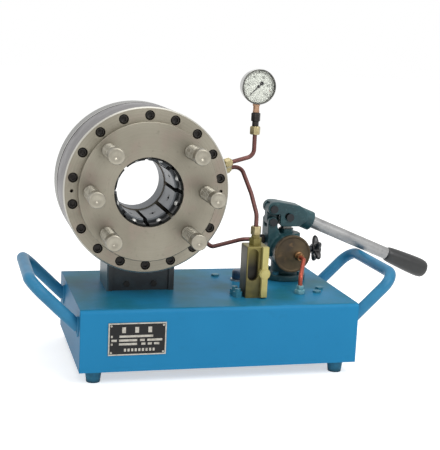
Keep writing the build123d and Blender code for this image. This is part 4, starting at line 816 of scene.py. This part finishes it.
def arms(turn, ring):
    """Five round arms: the hub's radius, plus the arms' reach times a lobe of the angle."""
    lobe = (0.5 + 0.5 * np.cos(turn * 5)) ** 1.2
    return (knob_hub[ring] + knob_arm[ring] * lobe) / knob_hub[ring]


knob = lathe(np.stack([knob_run, knob_hub], axis=1), knob_seat, (1, 0, 0), 160, arms)
add_piece("star_knob", shell(knob), knob_black, "release_knob", ("release_knob",), crease=50)


# ---- Filler cap ------------------------------------------------------------------------------------
# A dark blue breather cap with a fluted side, on a plated neck.

cap_blue = Finish("cap_blue", tone(32, 60, 88), 0.36)
cap_blue.tint(cap_blue.between(cap_blue.cloud(90, 4), 0.4, 0.75, 0.0, 0.6), tone(22, 42, 64))


def fluted(turn, ring):
    """Fine grip flutes on the cap's side only."""
    return np.where((ring >= 1) & (ring <= 3), 1 + 0.02 * np.cos(turn * 24), 1.0)


cap_seat = (203, 118, -185.7)
cap = lathe([
    (0, 9.6), (0, 11.6), (0.6, 12.0), (14, 12.0), (15.8, 11.4), (16.8, 9.8), (17.3, 6.0), (17.3, 0.4)],
    cap_seat, upward, 144, fluted)
add_piece("breather_cap", shell(cap), cap_blue, "filler_cap", ("filler_cap",), crease=50)


# ---- Bench, light and camera -----------------------------------------------------------------------
# A white floor under soft overhead light, and the camera where a person stands left of the machine.

def backdrop_seen(tree):
    """1 for rays from the camera, off gloss and through glass, and 0 for rays that light a surface."""
    path = tree.nodes.new("ShaderNodeLightPath")
    either = path.outputs["Is Camera Ray"]
    for kind in ("Is Glossy Ray", "Is Transmission Ray"):
        node = tree.nodes.new("ShaderNodeMath")
        node.operation = "MAXIMUM"
        tree.links.new(either, node.inputs[0])
        tree.links.new(path.outputs[kind], node.inputs[1])
        either = node.outputs[0]
    return either


def scaled(tree, value, at_none, at_full):
    """A strength that goes from at_none to at_full with a value from 0 to 1."""
    node = tree.nodes.new("ShaderNodeMapRange")
    node.inputs["To Min"].default_value = at_none
    node.inputs["To Max"].default_value = at_full
    tree.links.new(value, node.inputs["Value"])
    return node.outputs["Result"]


low, high = (np.array(corner) for corner in cad_box)
floor_z = float(low[2])
edge = np.array([(-1, -1), (1, -1), (1, 1), (-1, 1)]) * 14.0
floor_mesh = bpy.data.meshes.new("white_floor")
floor_mesh.from_pydata([(x, y, floor_z) for x, y in edge.tolist()], [], [(0, 1, 2, 3)])
floor = bpy.data.objects.new("white_floor", floor_mesh)
bpy.context.scene.collection.objects.link(floor)
floor_white = Finish("floor_white", tone(248, 248, 247), 0.9).set(Specular_IOR_Level=0.0)
floor_white.set(Emission_Color=(1, 1, 1, 1))
floor_white.join(floor_white.shader.inputs["Emission Strength"],
                 scaled(floor_white.tree, backdrop_seen(floor_white.tree), 0.0, 0.55))
floor_mesh.materials.append(floor_white.material)

world = bpy.data.worlds.new("studio")
bpy.context.scene.world = world
world.use_nodes = True
backdrop = world.node_tree.nodes["Background"]
backdrop.inputs["Color"].default_value = (1, 1, 1, 1)
world.node_tree.links.new(scaled(world.node_tree, backdrop_seen(world.node_tree), 0.5, 1.0),
                          backdrop.inputs["Strength"])


def soft_box(name, place, target, size, watts):
    """A square area lamp aimed at a point."""
    lamp = bpy.data.lights.new(name, "AREA")
    lamp.size = size
    lamp.energy = watts
    holder = bpy.data.objects.new(name, lamp)
    holder.location = place
    holder.rotation_euler = (Vector(target) - Vector(place)).to_track_quat("-Z", "Y").to_euler()
    bpy.context.scene.collection.objects.link(holder)


centre = tuple(((low + high) / 2).tolist())
soft_box("key", (1.1, -1.8, 1.7), centre, 1.4, 32)
soft_box("fill", (-1.7, -1.3, 0.9), centre, 1.4, 6)
soft_box("top", (0.2, 0.2, 2.1), centre, 1.8, 16)

eye = Vector((-0.3409, -1.7092, 0.2742))
yaw, pitch, roll = 0.268447, 0.185113, 0.045796
aim = Vector((math.sin(yaw) * math.cos(pitch), math.cos(yaw) * math.cos(pitch), -math.sin(pitch)))
lens = bpy.data.cameras.new("operator_view")
view = bpy.data.objects.new("operator_view", lens)
view.location = eye
turn = aim.to_track_quat("-Z", "Y") @ Matrix.Rotation(roll, 4, "Z").to_quaternion()
view.rotation_euler = turn.to_euler()
lens.sensor_width = 36
lens.lens = 81.256
bpy.context.scene.collection.objects.link(view)
bpy.context.scene.camera = view
bpy.context.scene.view_settings.view_transform = "Standard"
